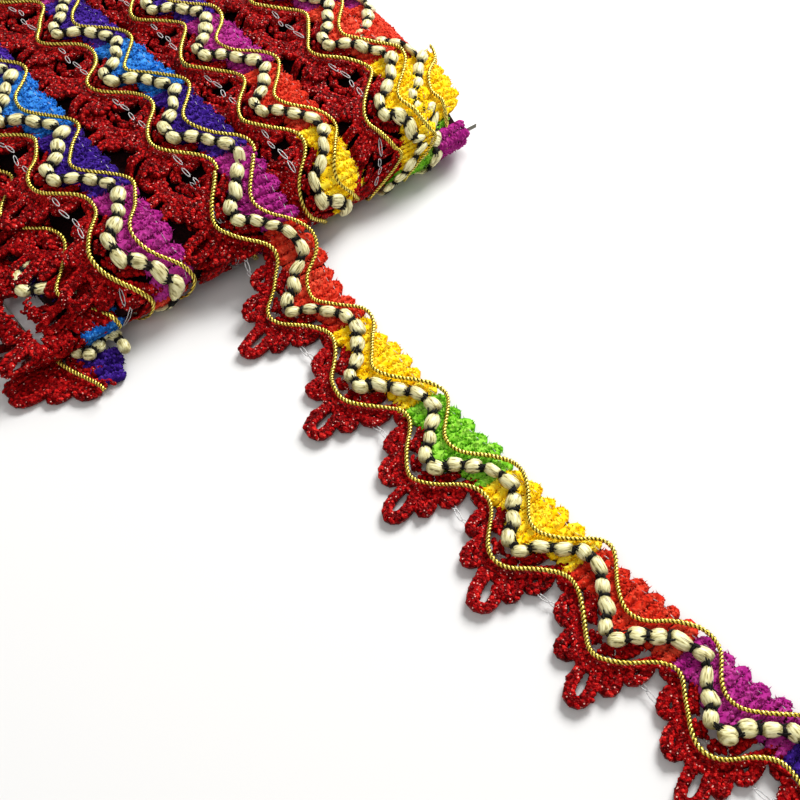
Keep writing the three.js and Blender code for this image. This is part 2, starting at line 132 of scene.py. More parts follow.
@dataclass(frozen=True)
class Trim:
    """Sizes of one repeat of the trim, with heights from the ribbon's underside to the yarns' middles."""

    upper: CordLine = CordLine(5.35, 3.75, 0.3)
    lower: CordLine = CordLine(-4.55, 3.95, 0.65, 0.15)
    gimp_height: float = 1.05
    cord_height: float = 2.95
    cord_radius: float = 0.5
    braid_height: float = 3.3
    pile_edge: float = 9.9
    tufts: int = 6
    first_tuft: float = 1.3

    def web_top(self, w: np.ndarray) -> np.ndarray:
        """Line where the gimp web ends and the chenille starts."""
        return -0.9 + 1.3 * wave(w) - wave(2 * np.asarray(w))


TRIM = Trim()

# Guides of the yarns of one repeat, as places along and across it. The beads are single places.
PETAL_LOOPS = (
    ((-1.3, -0.9), (0.0, -1.6), (1.4, -1.3)),
    ((2.6, -2.0), (2.7, -4.5), (3.7, -6.7), (5.2, -6.9), (5.7, -5.2), (5.2, -3.0)),
    ((7.3, -6.4), (7.2, -9.0), (7.9, -11.1), (9.4, -11.8), (10.3, -10.5), (10.1, -8.0)),
    ((12.2, -8.4), (13.1, -11.3), (13.9, -14.2), (15.0, -16.3), (16.4, -16.8), (17.6, -15.7), (17.4, -13.5),
     (16.4, -11.3), (15.2, -9.0)),
    ((16.4, -9.0), (18.0, -11.2), (19.3, -11.2), (19.2, -9.4), (17.6, -7.6)),
    ((18.2, -5.4), (19.6, -7.0), (20.9, -6.2), (21.1, -4.2), (20.6, -1.9)),
)
WEB_FILLS = (
    ((11.9, -9.4), (14.0, -8.9), (16.0, -7.5), (18.0, -5.3), (19.6, -2.6), (20.6, -0.9)),
    ((1.9, -1.9), (4.0, -3.1), (6.5, -5.4), (9.0, -8.0), (11.5, -9.2)),
    ((7.9, -6.9), (10.2, -9.6), (13.0, -10.2), (15.4, -9.6)),
    ((5.0, 0.0), (6.2, -1.6), (7.8, -3.6)),
    ((15.8, -4.6), (16.6, -2.4), (17.1, -0.4)),
    ((9.8, -4.9), (11.4, -6.0)),
    ((13.2, -6.1), (14.8, -4.9)),
    ((20.4, 0.1), (22.3, 1.2)),
)
BEADS = (
    (2.2, 4.8), (5.6, 2.1), (8.6, -0.5), (10.9, -3.6), (14.2, -3.8), (15.9, -0.5), (18.7, 2.1), (21.7, 4.4),
)


def smooth(guide: Sequence[Sequence[float]], pitch: float) -> np.ndarray:
    """Even points along a smooth curve through a guide.

    Args:
        guide: Points of two or three numbers.
        pitch: Distance between the points that come back.

    Returns:
        Array of points with as many numbers each as the guide has.
    """
    p = np.asarray(guide, float)
    if len(p) == 2:
        p = np.vstack([p[0], p.mean(0), p[1]])
    ends = np.vstack([2 * p[0] - p[1], p, 2 * p[-1] - p[-2]])
    f = np.linspace(0, 1, SPAN_SAMPLES, endpoint=False)[:, None]
    spans = [
        0.5 * (2 * b + (c - a) * f + (2 * a - 5 * b + 4 * c - d) * f**2 + (3 * b - a - 3 * c + d) * f**3)
        for a, b, c, d in zip(ends, ends[1:], ends[2:], ends[3:])
    ]
    line = np.vstack([*spans, p[-1:]])
    gone = np.r_[0, np.cumsum(np.linalg.norm(np.diff(line, axis=0), axis=1))]
    at = np.linspace(0, gone[-1], max(3, round(gone[-1] / pitch) + 1))
    return np.stack([np.interp(at, gone, line[:, k]) for k in range(line.shape[1])], 1)


@dataclass
class Flat:
    """Triangle mesh, in the ribbon's own coordinates until it is laid.

    Attributes:
        verts: Vertices, three numbers each.
        tris: Triangles, three vertex numbers each.
        detail: Three numbers of each vertex that its finish reads; the first is most often a painted shade.
        lot: Random value from 0 to 1 of each vertex's own yarn, hair or bead, which its finish reads.
    """

    verts: np.ndarray
    tris: np.ndarray
    detail: np.ndarray
    lot: np.ndarray

    @staticmethod
    def join(parts: Iterable[Flat]) -> Flat:
        """Joins meshes.

        Args:
            parts: The meshes. Empty ones are left out.

        Returns:
            All of them as one mesh.
        """
        kept = [part for part in parts if len(part.verts)]
        starts = np.cumsum([0] + [len(part.verts) for part in kept])
        return Flat(
            np.vstack([part.verts for part in kept]),
            np.vstack([part.tris + start for part, start in zip(kept, starts)]),
            np.vstack([part.detail for part in kept]),
            np.concatenate([part.lot for part in kept]),
        )

    @staticmethod
    def shaded(verts: np.ndarray, tris: np.ndarray, shade: float, lot: float = 0.0) -> Flat:
        """A mesh with the same painted shade and lot at every vertex."""
        detail = np.zeros((len(verts), 3))
        detail[:, 0] = shade
        return Flat(verts, tris, detail, np.full(len(verts), lot))

    def moved(self, along: float, lot: float) -> Flat:
        """A copy further along the ribbon, with its lots changed so that no two repeats look the same."""
        shift = np.array([along, 0, 0])
        return Flat(self.verts + shift, self.tris, self.detail, (self.lot + lot) % 1.0)

    def laid(self, lay: Lay) -> Flat:
        """The mesh where the lay puts it."""
        return Flat(lay.place(self.verts), self.tris, self.detail, self.lot)

    def kept(self, keep: np.ndarray) -> Flat:
        """Takes a part of the mesh.

        Args:
            keep: Tells for each vertex whether it stays.

        Returns:
            The triangles whose vertices all stay.
        """
        tris = self.tris[keep[self.tris].all(1)]
        used = np.unique(tris)
        order = np.zeros(len(self.verts), int)
        order[used] = np.arange(len(used))
        return Flat(self.verts[used], order[tris], self.detail[used], self.lot[used])


def runs(path: np.ndarray, keep: Keep | None, *others: np.ndarray) -> list[tuple[np.ndarray, ...]]:
    """Stretches of a path that are kept.

    Args:
        path: Points of the path.
        keep: Tells which points are kept, all when it is left out.
        others: Arrays with one value for each point.

    Returns:
        Each stretch of more than two points, with the same stretch of the other arrays.
    """
    if keep is None:
        return [(path, *others)]
    inside = np.r_[False, keep(path), False]
    starts, ends = np.flatnonzero(inside[1:] & ~inside[:-1]), np.flatnonzero(~inside[1:] & inside[:-1])
    return [tuple(v[a:b] for v in (path, *others)) for a, b in zip(starts, ends) if b - a > 2]


def tube(path: np.ndarray, half: np.ndarray | float, high: np.ndarray | float, sides: int,
         lot: float = 0.0, shade: float = 1.0) -> Flat:
    """Closed tube with rounded ends.

    Args:
        path: Centre points, along, across and above.
        half: Half width in the ribbon's plane, one number or one for each point.
        high: Half height above it.
        sides: Corners of its section.
        lot: Random value of its own that the finish reads.
        shade: Painted shade from 0, dark, to 1, which the finish reads.

    Returns:
        The tube's mesh.
    """
    ahead = unit(np.gradient(path, axis=0))
    side = unit(beside(ahead))
    up = np.cross(ahead, side)
    angle = TAU * (np.arange(sides) + 0.5) / sides
    half, high = (np.broadcast_to(np.asarray(v, float), len(path)).copy() for v in (half, high))
    ring = path[:, None] + half[:, None, None] * np.cos(angle)[None, :, None] * side[:, None]
    ring = ring + high[:, None, None] * np.sin(angle)[None, :, None] * up[:, None]
    caps = np.stack([path[0] - ahead[0] * half[0] * CAP_BULGE, path[-1] + ahead[-1] * half[-1] * CAP_BULGE])
    count = len(path)
    k = np.arange(sides)
    j = (k + 1) % sides
    base = np.arange(count - 1)[:, None] * sides
    walls = [
        np.stack([base + k, base + j, base + sides + k], -1).reshape(-1, 3),
        np.stack([base + j, base + sides + j, base + sides + k], -1).reshape(-1, 3),
    ]
    first, last, end = count * sides, count * sides + 1, (count - 1) * sides
    walls.append(np.stack([np.full(sides, first), j, k], 1))
    walls.append(np.stack([np.full(sides, last), end + k, end + j], 1))
    return Flat.shaded(np.vstack([ring.reshape(-1, 3), caps]), np.vstack(walls), shade, lot)


def srgb(code: str) -> tuple[float, float, float, float]:
    """Linear colour of an sRGB hex code such as #A0B0C0."""
    parts = [int(code[i:i + 2], 16) / 255 for i in (1, 3, 5)]
    line = [c / 12.92 if c <= 0.04045 else ((c + 0.055) / 1.055) ** 2.4 for c in parts]
    return line[0], line[1], line[2], 1.0


def add_node(tree: bpy.types.NodeTree, kind: str, inputs: dict[Any, Any] | None = None,
             stops: Sequence[tuple[float, str]] = (), **settings: Any) -> bpy.types.Node:
    """Adds a node.

    Args:
        tree: Tree that the node goes into.
        kind: Blender's name of the node.
        inputs: For each input, by its name or number, a value, an output socket or a node for its first one.
        stops: Place and hex colour of each stop, where the node has a colour ramp.
        settings: The node's own properties.

    Returns:
        The node.
    """
    node = tree.nodes.new(kind)
    for k, (place, code) in enumerate(stops):
        line = node.color_ramp.elements
        stop = line[k] if k < len(line) else line.new(place)
        stop.position, stop.color = place, srgb(code)
    for name, value in settings.items():
        setattr(node, name, value)
    for key, value in (inputs or {}).items():
        if isinstance(value, bpy.types.Node):
            value = value.outputs[0]
        if isinstance(value, bpy.types.NodeSocket):
            tree.links.new(value, node.inputs[key])
        else:
            node.inputs[key].default_value = value
    return node


def add_object(name: str, data: bpy.types.ID) -> bpy.types.Object:
    """Puts a mesh, curve, light or camera in the scene."""
    made = bpy.data.objects.new(name, data)
    bpy.context.scene.collection.objects.link(made)
    return made


class Growth:
    """A geometry node tree and the meshes that it grows."""

    def __init__(self, name: str, sockets: dict[str, str]) -> None:
        """Starts a tree with a geometry input, the named inputs and a geometry output.

        Args:
            name: Name of the tree.
            sockets: Kind of socket of each named input.
        """
        self.tree = bpy.data.node_groups.new(name, "GeometryNodeTree")
        face = self.tree.interface
        face.new_socket("Geometry", in_out="INPUT", socket_type="NodeSocketGeometry")
        for socket, kind in sockets.items():
            face.new_socket(socket, in_out="INPUT", socket_type=kind)
        face.new_socket("Geometry", in_out="OUTPUT", socket_type="NodeSocketGeometry")
        self.given = self.tree.nodes.new("NodeGroupInput").outputs

    def node(self, kind: str, inputs: dict[Any, Any] | None = None, **settings: Any) -> bpy.types.Node:
        """Adds a node to the tree."""
        return add_node(self.tree, kind, inputs, **settings)

    def end(self, geometry: bpy.types.Node) -> None:
        """Closes the tree with Realize Instances and Set Material."""
        real = self.node("GeometryNodeRealizeInstances", {"Geometry": geometry})
        dressed = self.node("GeometryNodeSetMaterial",
                            {"Geometry": real, "Material": self.given["Material"]})
        self.node("NodeGroupOutput", {0: dressed})

    def grow(self, base: bpy.types.ID, values: dict[str, Any]) -> Flat:
        """Grows the tree on a mesh or curve.

        Args:
            base: Mesh or curve data that the tree starts from, which the caller removes.
            values: One value for each named input.

        Returns:
            The grown mesh.
        """
        holder = add_object("holder", base)
        modifier = holder.modifiers.new("grow", "NODES")
        modifier.node_group = self.tree
        for item in self.tree.interface.items_tree:
            if item.in_out == "INPUT" and item.name in values:
                modifier[item.identifier] = values[item.name]
        graph = bpy.context.evaluated_depsgraph_get()
        mesh = bpy.data.meshes.new_from_object(holder.evaluated_get(graph), depsgraph=graph)
        holder.modifiers.remove(modifier)
        bpy.data.objects.remove(holder)
        flat = read_mesh(mesh)
        bpy.data.meshes.remove(mesh)
        return flat


def read_mesh(mesh: bpy.types.Mesh) -> Flat:
    """Reads a Blender mesh.

    Args:
        mesh: Mesh with a detail attribute.

    Returns:
        Its vertices, triangles and detail, with every lot at zero.
    """
    mesh.calc_loop_triangles()
    tables = []
    for rows, name, kind in ((mesh.vertices, "co", np.float32), (mesh.loop_triangles, "vertices", np.int32),
                             (mesh.attributes["detail"].data, "vector", np.float32)):
        values = np.zeros(len(rows) * 3, kind)
        rows.foreach_get(name, values)
        tables.append(values.reshape(-1, 3).astype(int if kind is np.int32 else float))
    return Flat(*tables, np.zeros(len(tables[0])))


def mesh_from(name: str, flat: Flat) -> bpy.types.Mesh:
    """Makes a smooth Blender mesh.

    Args:
        name: Name of the mesh.
        flat: Its vertices, triangles, detail and lots.

    Returns:
        The mesh, with the detail and lots as attributes.
    """
    mesh = bpy.data.meshes.new(name)
    mesh.vertices.add(len(flat.verts))
    mesh.vertices.foreach_set("co", flat.verts.astype(np.float32).ravel())
    mesh.loops.add(len(flat.tris) * 3)
    mesh.loops.foreach_set("vertex_index", flat.tris.astype(np.int32).ravel())
    mesh.polygons.add(len(flat.tris))
    mesh.polygons.foreach_set("loop_start", np.arange(0, len(flat.tris) * 3, 3, dtype=np.int32))
    mesh.update(calc_edges=True)
    mesh.attributes.new("detail", "FLOAT_VECTOR", "POINT").data.foreach_set(
        "vector", flat.detail.astype(np.float32).ravel())
    mesh.attributes.new("lot", "FLOAT", "POINT").data.foreach_set("value", flat.lot.astype(np.float32))
    mesh.validate()
    mesh.shade_smooth()
    return mesh


class TwistTree(Growth):
    """Two-ply twisted cord along a curve."""

    def __init__(self) -> None:
        """Builds the tree."""
        super().__init__("twisted_cord", {
            "Pitch": "NodeSocketFloat", "Rings": "NodeSocketFloat", "Radius": "NodeSocketFloat",
            "Waist": "NodeSocketFloat", "Corners": "NodeSocketInt", "Material": "NodeSocketMaterial"})
        given = self.given
        step = self.node("ShaderNodeMath", {0: given["Pitch"], 1: given["Rings"]}, operation="DIVIDE")
        curve = given["Geometry"]
        even = self.node("GeometryNodeResampleCurve", {"Curve": curve, "Length": step}, mode="LENGTH")
        upright = self.node("GeometryNodeSetCurveNormal", {"Curve": even})
        gone = self.node("GeometryNodeSplineParameter").outputs["Length"]
        turns = self.node("ShaderNodeMath", {0: gone, 1: given["Pitch"]}, operation="DIVIDE")
        angle = self.node("ShaderNodeMath", {0: turns, 1: TAU}, operation="MULTIPLY")
        tilted = self.node("GeometryNodeSetCurveTilt", {"Curve": upright, "Tilt": angle})
        circle = self.node("GeometryNodeCurvePrimitiveCircle",
                           {"Resolution": given["Corners"], "Radius": given["Radius"]})
        place = self.node("GeometryNodeInputPosition").outputs[0]
        apart = self.node("ShaderNodeSeparateXYZ", {0: place})
        share = self.node("ShaderNodeMath", {0: apart.outputs["Y"], 1: given["Radius"]}, operation="DIVIDE")
        # How far out on a lobe each point is: it shapes the waist, and the gold finish reads it as painted
        # shade in the grooves and a painted highlight on the lobes.
        lobe = self.node("ShaderNodeMath", {0: share}, operation="ABSOLUTE")
        detail = self.node("ShaderNodeCombineXYZ", {"X": lobe})
        marked = self.node("GeometryNodeStoreNamedAttribute",
                           {"Geometry": circle, "Name": "detail", "Value": detail},
                           data_type="FLOAT_VECTOR", domain="POINT")
        swell = self.node("ShaderNodeMapRange", {"Value": lobe, "To Min": given["Waist"], "To Max": 1.0})
        pinched = self.node("ShaderNodeVectorMath", {0: place, "Scale": swell}, operation="SCALE")
        section = self.node("GeometryNodeSetPosition", {"Geometry": marked, "Position": pinched})
        body = self.node("GeometryNodeCurveToMesh", {
            "Curve": tilted, "Profile Curve": section, "Fill Caps": True})
        self.end(body)


class ScatterTree(Growth):
    """One shape at each point, turned to its heading and rise."""

    def __init__(self) -> None:
        """Builds the tree."""
        super().__init__("shapes_at_points",
                         {"Shape": "NodeSocketObject", "Material": "NodeSocketMaterial"})
        heading, rise, size = (
            self.node("GeometryNodeInputNamedAttribute", {"Name": name}, data_type="FLOAT_VECTOR").outputs[0]
            for name in ("heading", "rise", "size"))
        turn = self.node("FunctionNodeAxesToRotation", {0: heading, 1: rise},
                         primary_axis="X", secondary_axis="Z")
        shape = self.node("GeometryNodeObjectInfo", {"Object": self.given["Shape"], "As Instance": True})
        spread = self.node("GeometryNodeInstanceOnPoints", {
            "Points": self.given["Geometry"], "Instance": shape.outputs["Geometry"],
            "Rotation": turn, "Scale": size})
        self.end(spread)

    def scatter(self, shape: Flat, centres: np.ndarray, heading: np.ndarray, rise: np.ndarray,
                size: np.ndarray, seed: int) -> Flat:
        """Puts a shape at each centre.

        Args:
            shape: Shape that is repeated, long along its own X.
            centres: Where each one goes.
            heading: Direction of each one's X.
            rise: Direction that each one's Z is nearest to.
            size: Scale of each one, three numbers.
            seed: Seed of the lots, one for each shape.

        Returns:
            The shapes as one mesh.
        """
        cloud = bpy.data.meshes.new("points")
        cloud.vertices.add(len(centres))
        cloud.vertices.foreach_set("co", np.asarray(centres, np.float32).ravel())
        for name, value in (("heading", heading), ("rise", rise), ("size", size)):
            rows = np.broadcast_to(np.asarray(value, np.float32), (len(centres), 3))
            cloud.attributes.new(name, "FLOAT_VECTOR", "POINT").data.foreach_set("vector", rows.ravel())
        mesh = mesh_from("shape", shape)
        model = bpy.data.objects.new("shape", mesh)
        grown = self.grow(cloud, {"Shape": model})
        bpy.data.objects.remove(model)
        bpy.data.meshes.remove(mesh)
        bpy.data.meshes.remove(cloud)
        lots = np.random.default_rng(seed).random(len(centres))
        grown.lot = np.repeat(lots, len(shape.verts))[: len(grown.verts)]
        return grown


class PileTree(Growth):
    """Short hairs or round knobs of pile on a surface, each with its own lean and scale."""

    LEAN = 0.75
    SCALE = (0.65, 1.3)

    def __init__(self, knobs: bool) -> None:
        """Builds the tree.

        Args:
            knobs: Whether it makes round knobs and not hairs.
        """
        self.corners = 6 if knobs else 4
        super().__init__("pile_knobs" if knobs else "pile_hairs", {
            "Density": "NodeSocketFloat", "Length": "NodeSocketFloat", "Width": "NodeSocketFloat",
            "Lean": "NodeSocketFloat", "Seed": "NodeSocketInt", "Material": "NodeSocketMaterial"})
        given = self.given
        spots = self.node("GeometryNodeDistributePointsOnFaces", {
            "Mesh": given["Geometry"], "Density": given["Density"], "Seed": given["Seed"]})
        less = self.node("ShaderNodeMath", {0: given["Lean"], 1: -1.0}, operation="MULTIPLY")
        low = self.node("ShaderNodeCombineXYZ", {0: less, 1: less, 2: less})
        high = self.node("ShaderNodeCombineXYZ", {0: given["Lean"], 1: given["Lean"], 2: given["Lean"]})
        lean = self.node("FunctionNodeRandomValue", {0: low, 1: high, "Seed": 3}, data_type="FLOAT_VECTOR")
        leaning = self.node("ShaderNodeVectorMath", {0: spots.outputs["Normal"], 1: lean}, operation="ADD")
        turn = self.node("FunctionNodeAlignRotationToVector", {"Vector": leaning}, axis="Z")
        if knobs:
            tuft = self.node("GeometryNodeMeshUVSphere", {
                "Segments": 4, "Rings": 2, "Radius": given["Width"]})
        else:
            tuft = self.node("GeometryNodeMeshCone", {
                "Vertices": 3, "Radius Top": 0.0, "Radius Bottom": given["Width"], "Depth": given["Length"]})
        smallest, largest = self.SCALE
        scale = self.node("FunctionNodeRandomValue", {2: smallest, 3: largest, "Seed": 7}, data_type="FLOAT")
        spread = self.node("GeometryNodeInstanceOnPoints", {
            "Points": spots.outputs["Points"], "Instance": tuft.outputs["Mesh"],
            "Rotation": turn, "Scale": scale.outputs[1]})
        self.end(spread)

    def pile(self, surface: Flat, density: float, length: float, width: float, seed: int) -> Flat:
        """Hairs or knobs on a surface.

        Args:
            surface: Mesh that they stand on.
            density: How many there are for each square millimetre.
            length: Length of a hair.
            width: Radius of a hair's foot or of a knob.
            seed: Seed of their places.

        Returns:
            All of them as one mesh, each with a lot of its own.
        """
        base = mesh_from("pile_base", surface)
        grown = self.grow(base, {
            "Density": density, "Length": length, "Width": width, "Lean": self.LEAN, "Seed": seed})
        bpy.data.meshes.remove(base)
        lots = np.random.default_rng(seed).random(len(grown.verts) // self.corners + 1)
        grown.lot = np.repeat(lots, self.corners)[: len(grown.verts)]
        grown.detail[:, 0] = 1.0
        return grown


class Lay:
    """Where a place on the ribbon is: along it, across it and above it."""

    def place(self, q: np.ndarray) -> np.ndarray:
        """Moves places of the ribbon to where it lies.

        Args:
            q: Places along, across and above the ribbon, three numbers each.

        Returns:
            The same places in the card's frame, in millimetres.
        """
        raise NotImplementedError


@dataclass(frozen=True)
class Wander:
    """Small smooth shifts that keep two repeats from being alike: a few waves added up for each axis."""

    seed: int
    amount: float = 0.28
    waves: int = 4

    AXIS_SHARES: ClassVar[tuple[tuple[int, float], ...]] = ((0, 1.0), (1, 1.0), (2, 0.35))
    ALONG_TURN: ClassVar[tuple[float, float]] = (0.15, 0.75)
    ACROSS_TURN: ClassVar[tuple[float, float]] = (-0.35, 0.35)

    def move(self, q: np.ndarray, share: np.ndarray | float = 1.0) -> np.ndarray:
        """Shifts flat places.

        Args:
            q: Places along, across and above the ribbon.
            share: Share of the full amount, one number or one for each place.

        Returns:
            Shifted copies of the places.
        """
        draw = np.random.default_rng(self.seed)
        out = q.copy()
        for axis, part in self.AXIS_SHARES:
            for _ in range(self.waves):
                along, across = draw.uniform(*self.ALONG_TURN), draw.uniform(*self.ACROSS_TURN)
                step = np.sin(along * q[:, 0] + across * q[:, 1] + draw.uniform(0, TAU))
                out[:, axis] += part * share * self.amount / 2 * step
        return out


@dataclass(frozen=True)
class LooseLay(Lay):
    """The loose end: down from the front fold in the air, then along the table in a shallow bend.

    Attributes:
        leave_x: x where it leaves the wound turns.
        ramp: x where it starts to fall and where it reaches the table.
        leave_z: How far it falls.
        lift: Height of its underside's middle line on the table.
        bend: x and y of the bend's lowest place.
        bend_far: How fast the bend curves on the card's side.
        bend_near: How fast it curves on the other side.
        mark: An x and the length along the ribbon there.
        reach: x that the table of lengths goes to.
        first_crest: Length along the ribbon of its first crest.
        end: Length along the ribbon where it is cut.
        wander: Its small shifts.
        gather_at: Lengths at which the next two are given.
        gather_along: How far it is gathered along itself there.
        gather_across: How far it is pushed across itself there.
    """

    leave_x: float = 49.9
    ramp: tuple[float, float] = (47.75, 82.75)
    leave_z: float = 15.24
    lift: float = 0.16
    bend: tuple[float, float] = (122.55, -6.6)
    bend_far: float = 0.00033
    bend_near: float = 0.000724
    mark: tuple[float, float] = (140.9, 70.5)
    reach: float = 260.0
    first_crest: float = -2.0
    end: float = 152.0
    wander: Wander = Wander(SEED + 1)
    gather_at: tuple[float, ...] = (-34, -26, -14, -2, 10, 22, 43)
    gather_along: tuple[float, ...] = (-2.48, -2.87, -1.74, -2.96, -1.9, -1.55, 0)
    gather_across: tuple[float, ...] = (-0.16, -0.18, 0.04, 0.98, 0.6, 0.15, 0)

    def line(self, x: np.ndarray) -> np.ndarray:
        """Middle line of the underside.

        Args:
            x: Places along the card's X.

        Returns:
            The line's point at each x.
        """
        dx = x - self.bend[0]
        y = self.bend[1] + np.where(dx < 0, self.bend_far, self.bend_near) * dx * dx
        f = np.clip((x - self.ramp[0]) / (self.ramp[1] - self.ramp[0]), 0, 1)
        return np.stack([x, y, self.lift + self.leave_z * (1 + np.cos(np.pi * f)) / 2], -1)

    def lengths(self) -> tuple[np.ndarray, np.ndarray]:
        """Table of x against the length along the ribbon."""
        x = np.arange(self.leave_x - 12, self.reach, 0.25)
        s = np.r_[0, np.cumsum(np.linalg.norm(np.diff(self.line(x), axis=0), axis=1))]
        return x, s + self.mark[1] - np.interp(self.mark[0], x, s)

    def gathered(self, s: np.ndarray) -> np.ndarray:
        """Lengths along the ribbon, pulled back where it is gathered near the fold."""
        return s + np.interp(s, self.gather_at, self.gather_along)

    @property
    def start(self) -> float:
        """Length along the ribbon where it leaves the wound turns."""
        x, s = self.lengths()
        table = np.arange(-60, 60, 0.1)
        return float(np.interp(np.interp(self.leave_x, x, s), self.gathered(table), table))

    def place(self, q: np.ndarray) -> np.ndarray:
        """Puts places of the ribbon, measured from the first crest, on the loose end.

        Args:
            q: Places along, across and above it.

        Returns:
            The same places in the card's frame.
        """
        s = q[:, 0] + self.first_crest
        q = self.wander.move(q, smoothstep(s, self.start + FADE[0], self.start + FADE[1]))
        x_table, s_table = self.lengths()
        s = q[:, 0] + self.first_crest
        x = np.interp(self.gathered(s), s_table, x_table)
        ahead = unit(self.line(x + 0.2) - self.line(x - 0.2))
        side = unit(beside(ahead))
        up = np.cross(ahead, side)
        across = q[:, 1] + np.interp(s, self.gather_at, self.gather_across)
        return self.line(x) + side * across[:, None] + up * q[:, 2:3]


@dataclass(frozen=True)
class TailLay(Lay):
    """The inner end, flat on the table and turned a little from the wound turns.

    Attributes:
        x: x in the card's frame of the place that it turns about.
        y: y of that place.
        turn: Angle that it is turned by.
        along: That place along the ribbon.
        across: That place across it.
        stretch: How much longer the petals lie below that place.
        floor: Lowest height of anything on it.
        wander: Its small shifts.
    """

    x: float = 61.9
    y: float = -53.45
    turn: float = -0.33
    along: float = 12.3
    across: float = -7.9
    stretch: float = 1.22
    floor: float = 0.02
    wander: Wander = Wander(SEED + 2, 0.2)

    def place(self, q: np.ndarray) -> np.ndarray:
        """Puts places of the ribbon, measured from the crest before it, on the inner end.

        Args:
            q: Places along, across and above it.

        Returns:
            The same places in the card's frame.
        """
        q = self.wander.move(q)
        cos, sin = math.cos(self.turn), math.sin(self.turn)
        w, t = q[:, 0] - self.along, q[:, 1] - self.across
        t = np.where(t < 0, t * self.stretch, t)
        x, y = self.x + w * cos - t * sin, self.y + w * sin + t * cos
        return np.stack([x, y, np.maximum(q[:, 2], self.floor)], 1)


class Section:
    """Closed line round the card that every wound turn follows, seen from the side.

    It goes through POINTS, given as x and z, and a turn has REPEATS repeats of the trim on it. CARD_Z is the
    height of the card's middle plane, and the other two sizes are half its width and half its thickness.
    """

    POINTS = (
        (50, 2.0), (0, 2.0), (-50, 2.0), (-59, 2.4), (-63.4, 4.8), (-60.5, 8.9), (-50, 10.6), (-28, 12.7),
        (8, 14.9), (33, 15.9), (48, 15.4), (56, 13.9), (61.0, 10.9), (62.9, 7.6), (62.2, 4.4), (58, 2.4),
    )
    CARD_Z = 5.6
    CARD_HALF_X = 61.25
    CARD_HALF_Z = 0.6
    REPEATS = 11

    def __init__(self) -> None:
        """Samples the line at even steps and finds where it passes over x = 0."""
        p = np.array(self.POINTS, float)
        f = np.linspace(0, 1, 60, endpoint=False)
        spans = [self._span(*(np.roll(p, 1 - i, axis=0)[:4]), f) for i in range(len(p))]
        line = np.vstack([*spans, spans[0][:1]])
        gone = np.r_[0, np.cumsum(np.linalg.norm(np.diff(line, axis=0), axis=1))]
        self.length = float(gone[-1])
        self.arc = np.linspace(0, self.length, 2400)
        self.x = np.interp(self.arc, gone, line[:, 0])
        self.z = np.interp(self.arc, gone, line[:, 1])
        self.origin = self.arc_over(0)
        self.pitch = self.length / self.REPEATS

    @staticmethod
    def _span(a: np.ndarray, b: np.ndarray, c: np.ndarray, d: np.ndarray, f: np.ndarray) -> np.ndarray:
        """Centripetal Catmull-Rom curve from b to c.

        Args:
            a: Point before b.
            b: Start of the curve.
            c: End of the curve.
            d: Point after c.
            f: Places on the curve, from 0 to 1.

        Returns:
            The curve's point at each place.
        """
        k0, k1, k2 = (math.sqrt(float(np.linalg.norm(v))) for v in (b - a, c - b, d - c))
        m1 = ((b - a) / k0 - (c - a) / (k0 + k1) + (c - b) / k1) * k1
        m2 = ((c - b) / k1 - (d - b) / (k1 + k2) + (d - c) / k2) * k1
        f = f[:, None]
        return (b + m1 * f + (-3 * b + 3 * c - 2 * m1 - m2) * f**2 + (2 * b - 2 * c + m1 + m2) * f**3)

    def at(self, along: np.ndarray) -> tuple[np.ndarray, ...]:
        """Finds places on the line.

        Args:
            along: Lengths from x = 0 on top.

        Returns:
            x, z and the outward direction's x and z at each length.
        """
        arc = (np.asarray(along) + self.origin) % self.length
        x, z = np.interp(arc, self.arc, self.x), np.interp(arc, self.arc, self.z)
        step = 0.6
        before, after = (arc - step) % self.length, (arc + step) % self.length
        dx = np.interp(after, self.arc, self.x) - np.interp(before, self.arc, self.x)
        dz = np.interp(after, self.arc, self.z) - np.interp(before, self.arc, self.z)
        size = np.hypot(dx, dz)
        return x, z, -dz / size, dx / size

    def arc_over(self, x: float) -> float:
        """Length along the form to an x on top."""
        over = (self.z > self.CARD_Z) & (self.x >= x)
        return float(self.arc[np.argmax(over)])

    def top_at(self, x: float) -> float:
        """Length from x = 0 on top to another x on top."""
        return self.arc_over(x) - self.origin


SECTION = Section()


